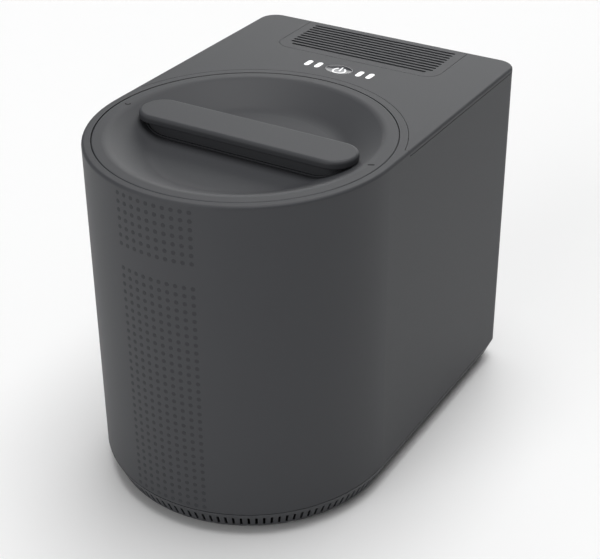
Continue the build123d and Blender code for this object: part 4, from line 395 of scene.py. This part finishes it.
def closed_sheet(name, front, back, material, body):
    """A piece between two grids of points, one behind the other, closed round its edge."""
    rows, columns = len(front), len(front[0])
    points = [point for grid in (front, back) for row in grid for point in row]
    faces = []
    for side, flip in ((0, False), (rows * columns, True)):
        for i in range(rows - 1):
            for j in range(columns - 1):
                corner = side + i * columns + j
                face = (corner, corner + 1, corner + columns + 1, corner + columns)
                faces.append(face[::-1] if flip else face)
    rim = ([(0, j) for j in range(columns - 1)] + [(i, columns - 1) for i in range(rows - 1)]
           + [(rows - 1, j) for j in range(columns - 1, 0, -1)] + [(i, 0) for i in range(rows - 1, 0, -1)])
    for (i, j), (k, m) in zip(rim, rim[1:] + rim[:1]):
        a, b = i * columns + j, k * columns + m
        faces.append((b, a, a + rows * columns, b + rows * columns))
    return add_piece(name, points, faces, material, body)


def stroke(name, path, width, carrier, material, body):
    """A round-ended line along path, let into the carrier's top face and standing just proud of it."""
    tree = BVHTree.FromObject(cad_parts[carrier], bpy.context.evaluated_depsgraph_get())
    half = width / 2
    lead = (path[0] - path[1]).normalized()
    tail = (path[-1] - path[-2]).normalized()
    # Stations along the line: middle, direction and half width. Each end is half a circle.
    turns = [step * pi / 2 / END_STEPS for step in range(1, END_STEPS + 1)]
    stations = [(path[0] + lead * half * cos(turn), lead, half * sin(turn)) for turn in turns]
    for before, here, after in zip(path, path[1:], path[2:]):
        stations.append((here, (before - after).normalized(), half))
    stations += [(path[-1] + tail * half * cos(turn), -tail, half * sin(turn)) for turn in turns[::-1]]
    front, back = [], []
    for centre, along, reach in stations:
        across = Vector((-along.y, along.x))
        face, foot = [], []
        for share in (-1, -0.75, 0, 0.75, 1):
            spot = centre + across * reach * share
            hit = tree.ray_cast(Vector((spot.x, spot.y, RAY_HEIGHT)), Vector((0, 0, -1)))[0]
            rise = STROKE_PROUD if abs(share) < 1 else -STROKE_EDGE
            face.append((spot.x, spot.y, hit.z + rise))
            foot.append((spot.x, spot.y, hit.z - STROKE_ROOT))
        front.append(face)
        back.append(foot)
    return closed_sheet(name, front, back, material, body)


# ---------------------------------------------------------------- settings
class CasingSettings(bpy.types.PropertyGroup):
    """Colour and moulded texture of the casing."""

    colour: bpy.props.FloatVectorProperty(
        name="Casing colour", description="Base colour of the moulded casing", subtype="COLOR",
        size=4, min=0, max=1, default=linear("#3A3B3E"))
    roughness: bpy.props.FloatProperty(
        name="Roughness", description="Roughness of the casing", default=0.55, min=0, max=1,
        subtype="FACTOR")
    grain_width: bpy.props.FloatProperty(
        name="Grain width", description="Across one grain of the moulded skin", default=0.55 * MM,
        unit="LENGTH")
    dimple_width: bpy.props.FloatProperty(
        name="Dimple width", description="Across one dimple on the nose", default=3.8 * MM,
        unit="LENGTH")
    top_margin: bpy.props.FloatProperty(
        name="Top margin", description="Top of the nose to the first row of dimples",
        default=7.2 * MM, unit="LENGTH")
    dimple_rise: bpy.props.FloatProperty(
        name="Dimple rise", description="Height from one row of dimples to the next",
        default=7.45 * MM, unit="LENGTH")
    dimple_turn: bpy.props.FloatProperty(
        name="Dimple turn", description="Angle round the nose from one column to the next",
        default=radians(3.2), unit="ROTATION")
    dimple_columns: bpy.props.IntProperty(
        name="Dimple columns", description="Columns of dimples on the nose", default=10, min=1)


class LidSettings(bpy.types.PropertyGroup):
    """Marks on the lid's border."""

    mark_reach: bpy.props.FloatProperty(
        name="Mark reach", description="Lid's axis to the middle of a mark", default=119.3 * MM,
        unit="LENGTH")
    mark_setback: bpy.props.FloatProperty(
        name="Mark setback", description="Lid's axis forwards to the marks", default=2.6 * MM,
        unit="LENGTH")
    mark_turn: bpy.props.FloatProperty(
        name="Mark turn", description="Turn of the marks from the handle's line",
        default=radians(26), unit="ROTATION")
    mark_size: bpy.props.FloatProperty(
        name="Mark size", description="Length of a mark", default=5.7 * MM, unit="LENGTH")
    hook_line: bpy.props.FloatProperty(
        name="Hook line", description="Width of the hooked mark's line", default=1.7 * MM,
        unit="LENGTH")
    bar_line: bpy.props.FloatProperty(
        name="Bar line", description="Width of the straight mark", default=2.3 * MM, unit="LENGTH")


class ControlSettings(bpy.types.PropertyGroup):
    """Power symbol and lamps."""

    symbol_width: bpy.props.FloatProperty(
        name="Symbol width", description="Across the outside of the power symbol",
        default=13.2 * MM, unit="LENGTH")
    symbol_line: bpy.props.FloatProperty(
        name="Symbol line", description="Width of the symbol's line", default=1.7 * MM,
        unit="LENGTH")
    lamp_strength: bpy.props.FloatProperty(
        name="Lamp strength", description="How bright the light guides are", default=0.9, min=0)
    # Strength of the painted glow: emission on the button round its symbol.
    button_painted_glow: bpy.props.FloatProperty(
        name="Button glow", description="Light that bleeds into the button", default=0.12, min=0)


class StageSettings(bpy.types.PropertyGroup):
    """Camera, floor and light."""

    lens: bpy.props.FloatProperty(
        name="Lens", description="Focal length of the camera", default=84.114, unit="CAMERA")
    camera_place: bpy.props.FloatVectorProperty(
        name="Camera place", description="Where the camera stands", subtype="TRANSLATION",
        unit="LENGTH", default=(0.58661, -0.94136, 0.80459))
    camera_turn: bpy.props.FloatProperty(
        name="Camera turn", description="Heading of the view, anticlockwise from straight back",
        subtype="ANGLE", unit="ROTATION", default=radians(30.286))
    camera_dip: bpy.props.FloatProperty(
        name="Camera dip", description="How far the view points down", subtype="ANGLE",
        unit="ROTATION", default=radians(29.944))
    camera_shift: bpy.props.FloatVectorProperty(
        name="Camera shift", description="Shift of the picture, as shares of its width", size=2,
        default=(-0.0337, -0.0324))
    floor_colour: bpy.props.FloatVectorProperty(
        name="Floor colour", description="Pale studio floor", subtype="COLOR",
        size=4, min=0, max=1, default=linear("#F4F4F4"))
    overhead: bpy.props.FloatProperty(
        name="Overhead light", description="Strength of the softbox overhead", default=2.25, min=0)
    behind: bpy.props.FloatProperty(
        name="Rear light", description="Strength of the low softbox behind", default=1.0, min=0)
    before: bpy.props.FloatProperty(
        name="Front light", description="Strength of the low softbox in front", default=1.1, min=0)
    room: bpy.props.FloatProperty(
        name="Room light", description="Strength of the even light all round", default=0.2, min=0)


class ComposterSettings(bpy.types.PropertyGroup):
    """All of the composter's settings."""

    casing: bpy.props.PointerProperty(type=CasingSettings)
    lid: bpy.props.PointerProperty(type=LidSettings)
    controls: bpy.props.PointerProperty(type=ControlSettings)
    stage: bpy.props.PointerProperty(type=StageSettings)


# ---------------------------------------------------------------- pieces
class COMPOSTER_OT_casing(bpy.types.Operator):
    """Finish the moulded casing, the lid and its handle, and the feet"""

    bl_idname = "composter.casing"
    bl_label = "Casing finish"

    def execute(self, context):
        casing = context.scene.composter.casing
        abs_plastic = spark_textured_abs(casing.colour, casing.roughness, casing.grain_width / MM)
        finish(["outer_shell", "rear_cover", "filter_cover", "base_tray", "lid_dish", "handle_bar"],
               abs_plastic)
        finish(["feet"], moulded_elastomer("black_epdm_rubber", "#131313", "#2A2A2A", 0.75))
        return {"FINISHED"}


class COMPOSTER_OT_nose_dimples(bpy.types.Operator):
    """Lay rows of small dished discs on the nose for its dimples, with a plain band left in them"""

    bl_idname = "composter.nose_dimples"
    bl_label = "Nose dimples"

    def execute(self, context):
        casing = context.scene.composter.casing
        middle = (casing.dimple_columns - 1) / 2
        turns = [(column - middle) * casing.dimple_turn for column in range(casing.dimple_columns)]
        levels, level = [], SHELL_HIGH.z - casing.top_margin
        while level > SHELL_LOW.z + casing.dimple_rise / 2:
            if not PLAIN_BAND[0] < level < PLAIN_BAND[1]:
                levels.append(level)
            level -= casing.dimple_rise
        points, faces = [], []
        for turn in turns:
            for level in levels:
                faces += self.disc_faces(len(points))
                points += self.disc_points(turn, level, casing.dimple_width / 2)
        # The dimples' darker colour is painted shade for their hollows.
        dark = painted_shade_abs("charcoal_abs_dimple_painted_shade", casing.colour, DIMPLE_SHADE)
        add_piece("nose_dimples", points, faces, dark, "root")
        return {"FINISHED"}

    def disc_points(self, turn, level, radius):
        """A disc's points: its middle, the rings of its profile and the middle of its underside."""
        points = [self.on_nose(turn, 0.0, DIMPLE_MIDDLE, level)]
        for share, proud in DIMPLE_PROFILE:
            reach = share * radius
            for step in range(DIMPLE_SIDES):
                angle = 2 * pi * step / DIMPLE_SIDES
                points.append(self.on_nose(turn, reach * cos(angle), proud, level + reach * sin(angle)))
        points.append(self.on_nose(turn, 0.0, -DIMPLE_ROOT, level))
        return points

    def disc_faces(self, start):
        """A disc's faces: a fan, bands from ring to ring, and a fan below. Its points begin at start."""
        end = start + 1 + len(DIMPLE_PROFILE) * DIMPLE_SIDES
        faces = []
        for step in range(DIMPLE_SIDES):
            after = (step + 1) % DIMPLE_SIDES
            faces.append((start, start + 1 + step, start + 1 + after))
            for ring in range(len(DIMPLE_PROFILE) - 1):
                inner = start + 1 + ring * DIMPLE_SIDES
                outer = inner + DIMPLE_SIDES
                faces.append((inner + step, outer + step, outer + after, inner + after))
            faces.append((end, outer + after, outer + step))
        return faces

    def on_nose(self, turn, aside, proud, level):
        """A point beside a dimple's middle, at a height above the nose's face."""
        angle = turn + aside / NOSE_RADIUS
        reach = NOSE_RADIUS + proud
        return (reach * sin(angle), LID_CENTRE.y - reach * cos(angle), level)


class COMPOSTER_OT_lid_marks(bpy.types.Operator):
    """Lay a hooked mark and a straight mark of painted shade on the lid's border, one at each side"""

    bl_idname = "composter.lid_marks"
    bl_label = "Lid marks"

    def execute(self, context):
        lid = context.scene.composter.lid
        turn = Matrix.Rotation(lid.mark_turn, 2)
        # The marks' near-black colour is painted shade, not print.
        dark = painted_shade_abs("charcoal_abs_mark_painted_shade", context.scene.composter.casing.colour, MARK_SHADE)
        left = LID_CENTRE.to_2d() + Vector((-lid.mark_reach, -lid.mark_setback))
        right = LID_CENTRE.to_2d() + Vector((lid.mark_reach, -lid.mark_setback))
        radius = (lid.mark_size - lid.hook_line) / 2
        hook = [turn @ Vector((sin(angle), -cos(angle))) * radius for angle in map(radians, HOOK_ANGLES)]
        half = (lid.mark_size - lid.bar_line) / 2
        bar = [turn @ Vector((half * share, 0)) for share in (-1, -0.3, 0.3, 1)]
        stroke("lid_hook_painted_shade", [left + place for place in hook], lid.hook_line, "lid_dish", dark,
               "lid_shell")
        stroke("lid_bar_painted_shade", [right + place for place in bar], lid.bar_line, "lid_dish", dark,
               "lid_shell")
        return {"FINISHED"}


class COMPOSTER_OT_controls(bpy.types.Operator):
    """Finish the power button and the light guides, and let the lit symbol into the button"""

    bl_idname = "composter.controls"
    bl_label = "Power button and lamps"

    def execute(self, context):
        controls = context.scene.composter.controls
        finish(["power_button"], polished_button_abs(controls.button_painted_glow))
        finish(["lamp_guides"], lit_acrylic("acrylic_light_guide", controls.lamp_strength))
        lit = lit_acrylic("acrylic_lit_symbol", controls.lamp_strength)
        centre = BUTTON_CENTRE.to_2d()
        radius = (controls.symbol_width - controls.symbol_line) / 2
        sweep = 360 - 2 * SYMBOL_GAP
        ring = [centre + Vector((sin(angle), cos(angle))) * radius
                for angle in [radians(SYMBOL_GAP + sweep * step / SYMBOL_STEPS)
                              for step in range(SYMBOL_STEPS + 1)]]
        low, high = BAR_SPAN
        bar = [centre + Vector((0, radius * (low + (high - low) * step / BAR_STEPS)))
               for step in range(BAR_STEPS + 1)]
        stroke("power_symbol_ring", ring, controls.symbol_line, "power_button", lit,
               "power_button")
        stroke("power_symbol_bar", bar, controls.symbol_line, "power_button", lit,
               "power_button")
        return {"FINISHED"}


class COMPOSTER_OT_lid_inside(bpy.types.Operator):
    """Finish the collar, the swivel and the inner lid with its seal"""

    bl_idname = "composter.lid_inside"
    bl_label = "Inside of the lid"

    def execute(self, context):
        finish(["lid_collar", "seal_carrier", "swivel_ring", "lid_switch"], glass_filled_nylon())
        finish(["lid_seal"], moulded_elastomer("grey_silicone", "#6E6E6A", "#8C8C87", 0.5))
        return {"FINISHED"}


class COMPOSTER_OT_bucket(bpy.types.Operator):
    """Finish the bucket, its agitator and bail, and the heated well round it"""

    bl_idname = "composter.bucket"
    bl_label = "Bucket and well"

    def execute(self, context):
        steel = brushed_stainless()
        finish(["bucket"], nonstick_cast_aluminium())
        finish(["wall_teeth", "agitator_spindle", "bail", "well", "chassis_plate"], steel)
        finish(["agitator", "heater_plate"],
               cast_aluminium("aluminium_sand_cast", 1.2, 0.04, "#8F8F8E", "#B4B4B2"))
        finish(["bail_grip"], glass_filled_nylon())
        finish(["bucket_bush"], sintered_bronze())
        finish(["insulation_wrap"], glass_fibre_felt())
        finish(["shaft_seal"], moulded_elastomer("black_silicone", "#181818", "#262626", 0.6))
        return {"FINISHED"}


class COMPOSTER_OT_drive(bpy.types.Operator):
    """Finish the gearcase, its wheels and shafts, and the motor"""

    bl_idname = "composter.drive"
    bl_label = "Drive"

    def execute(self, context):
        finish(["gearcase_lower", "gearcase_upper"],
               cast_aluminium("aluminium_die_cast", 0.5, 0.015, "#9B9C9D", "#B2B3B4"))
        finish(["gearcase_bearings"], sintered_bronze())
        finish(["output_wheel", "idler_wheel", "idler_pinion", "motor_pinion"], hobbed_steel())
        finish(["output_shaft", "idler_shaft", "motor_shaft", "drive_coupling"], brushed_stainless())
        finish(["motor"], powder_coated_steel())
        return {"FINISHED"}


class COMPOSTER_OT_air_path(bpy.types.Operator):
    """Finish the filters, their bay, the duct and the blower"""

    bl_idname = "composter.air_path"
    bl_label = "Filters and blower"

    def execute(self, context):
        finish(["filter_left", "filter_right"], polypropylene_frame())
        finish(["filter_bay", "steam_duct", "blower_housing", "impeller"], glass_filled_nylon())
        finish(["blower_motor"], powder_coated_steel())
        return {"FINISHED"}


class COMPOSTER_OT_electrics(bpy.types.Operator):
    """Finish the control board, the mains inlet and all screws"""

    bl_idname = "composter.electrics"
    bl_label = "Electrics and screws"

    def execute(self, context):
        finish(["control_board"], solder_masked_laminate())
        finish(["tact_switch"], glass_filled_nylon())
        finish(["power_inlet"], polycarbonate_gloss())
        finish(["inlet_pins"], nickel_plate())
        finish(["base_screws", "gearcase_screws", "board_screws", "inlet_screws", "handle_screws",
                "chassis_screws", "thermostat"], zinc_plate())
        return {"FINISHED"}


class COMPOSTER_OT_stage(bpy.types.Operator):
    """Lay the floor, light it softly and set the camera"""

    bl_idname = "composter.stage"
    bl_label = "Stage"

    def execute(self, context):
        stage = context.scene.composter.stage
        self.floor(stage)
        self.camera(context.scene, stage)
        self.lights(context.scene, stage)
        return {"FINISHED"}

    def floor(self, stage):
        mesh = bpy.data.meshes.new("studio_floor")
        corners = [(x * FLOOR_REACH, y * FLOOR_REACH, 0.0) for x, y in ((-1, -1), (1, -1), (1, 1), (-1, 1))]
        mesh.from_pydata(corners, [], [(0, 1, 2, 3)])
        floor = bpy.data.objects.new("studio_floor", mesh)
        bpy.context.scene.collection.objects.link(floor)
        # Seamless paper: pale and quite matt, so it takes only soft shadows.
        paper = new_material("seamless_paper", Base_Color=stage.floor_colour, Roughness=0.9,
                             Specular_IOR_Level=0.0)[0]
        mesh.materials.append(paper)

    def camera(self, scene, stage):
        camera = bpy.data.cameras.new("camera")
        camera.sensor_width = 36.0
        camera.lens = stage.lens
        camera.shift_x, camera.shift_y = stage.camera_shift
        camera.clip_end = 100.0
        eye = bpy.data.objects.new("camera", camera)
        turn = Matrix.Rotation(stage.camera_turn, 4, "Z")
        dip = Matrix.Rotation(pi / 2 - stage.camera_dip, 4, "X")
        eye.matrix_world = Matrix.Translation(stage.camera_place) @ turn @ dip
        scene.collection.objects.link(eye)
        scene.camera = eye

    def lights(self, scene, stage):
        world = bpy.data.worlds.new("studio")
        world.use_nodes = True
        room = world.node_tree.nodes["Background"]
        room.inputs["Color"].default_value = (1, 1, 1, 1)
        room.inputs["Strength"].default_value = stage.room
        scene.world = world
        for name, strength, (heading, height) in (
                ("overhead_softbox", stage.overhead, OVERHEAD_PLACE),
                ("rear_softbox", stage.behind, REAR_PLACE),
                ("front_softbox", stage.before, FRONT_PLACE)):
            sun = bpy.data.lights.new(name, "SUN")
            sun.energy = strength
            sun.angle = SOFTBOX_SPREAD
            lamp = bpy.data.objects.new(name, sun)
            dip = Matrix.Rotation(radians(height - 90), 4, "X")
            lamp.matrix_world = Matrix.Rotation(radians(-heading), 4, "Z") @ dip
            scene.collection.objects.link(lamp)
        scene.view_settings.view_transform = "Standard"


class COMPOSTER_PT_sidebar(bpy.types.Panel):
    """Lists the composter's pieces and its stage"""

    bl_idname = "COMPOSTER_PT_sidebar"
    bl_label = "Food waste composter"
    bl_space_type = "VIEW_3D"
    bl_region_type = "UI"
    bl_category = "Composter"

    def draw(self, context):
        for operator in OPERATORS:
            self.layout.operator(operator.bl_idname)


SETTINGS = (CasingSettings, LidSettings, ControlSettings, StageSettings, ComposterSettings)
OPERATORS = (COMPOSTER_OT_casing, COMPOSTER_OT_nose_dimples, COMPOSTER_OT_lid_marks,
             COMPOSTER_OT_controls, COMPOSTER_OT_lid_inside, COMPOSTER_OT_bucket, COMPOSTER_OT_drive,
             COMPOSTER_OT_air_path, COMPOSTER_OT_electrics, COMPOSTER_OT_stage)


def register():
    for group in (*SETTINGS, *OPERATORS, COMPOSTER_PT_sidebar):
        bpy.utils.register_class(group)
    bpy.types.Scene.composter = bpy.props.PointerProperty(type=ComposterSettings)


def unregister():
    del bpy.types.Scene.composter
    for group in (COMPOSTER_PT_sidebar, *reversed(OPERATORS), *reversed(SETTINGS)):
        bpy.utils.unregister_class(group)


def main():
    """Makes every piece."""
    register()
    bpy.ops.composter.casing()
    bpy.ops.composter.nose_dimples()
    bpy.ops.composter.lid_marks()
    bpy.ops.composter.controls()
    bpy.ops.composter.lid_inside()
    bpy.ops.composter.bucket()
    bpy.ops.composter.drive()
    bpy.ops.composter.air_path()
    bpy.ops.composter.electrics()
    bpy.ops.composter.stage()


if __name__ == "__main__":
    main()
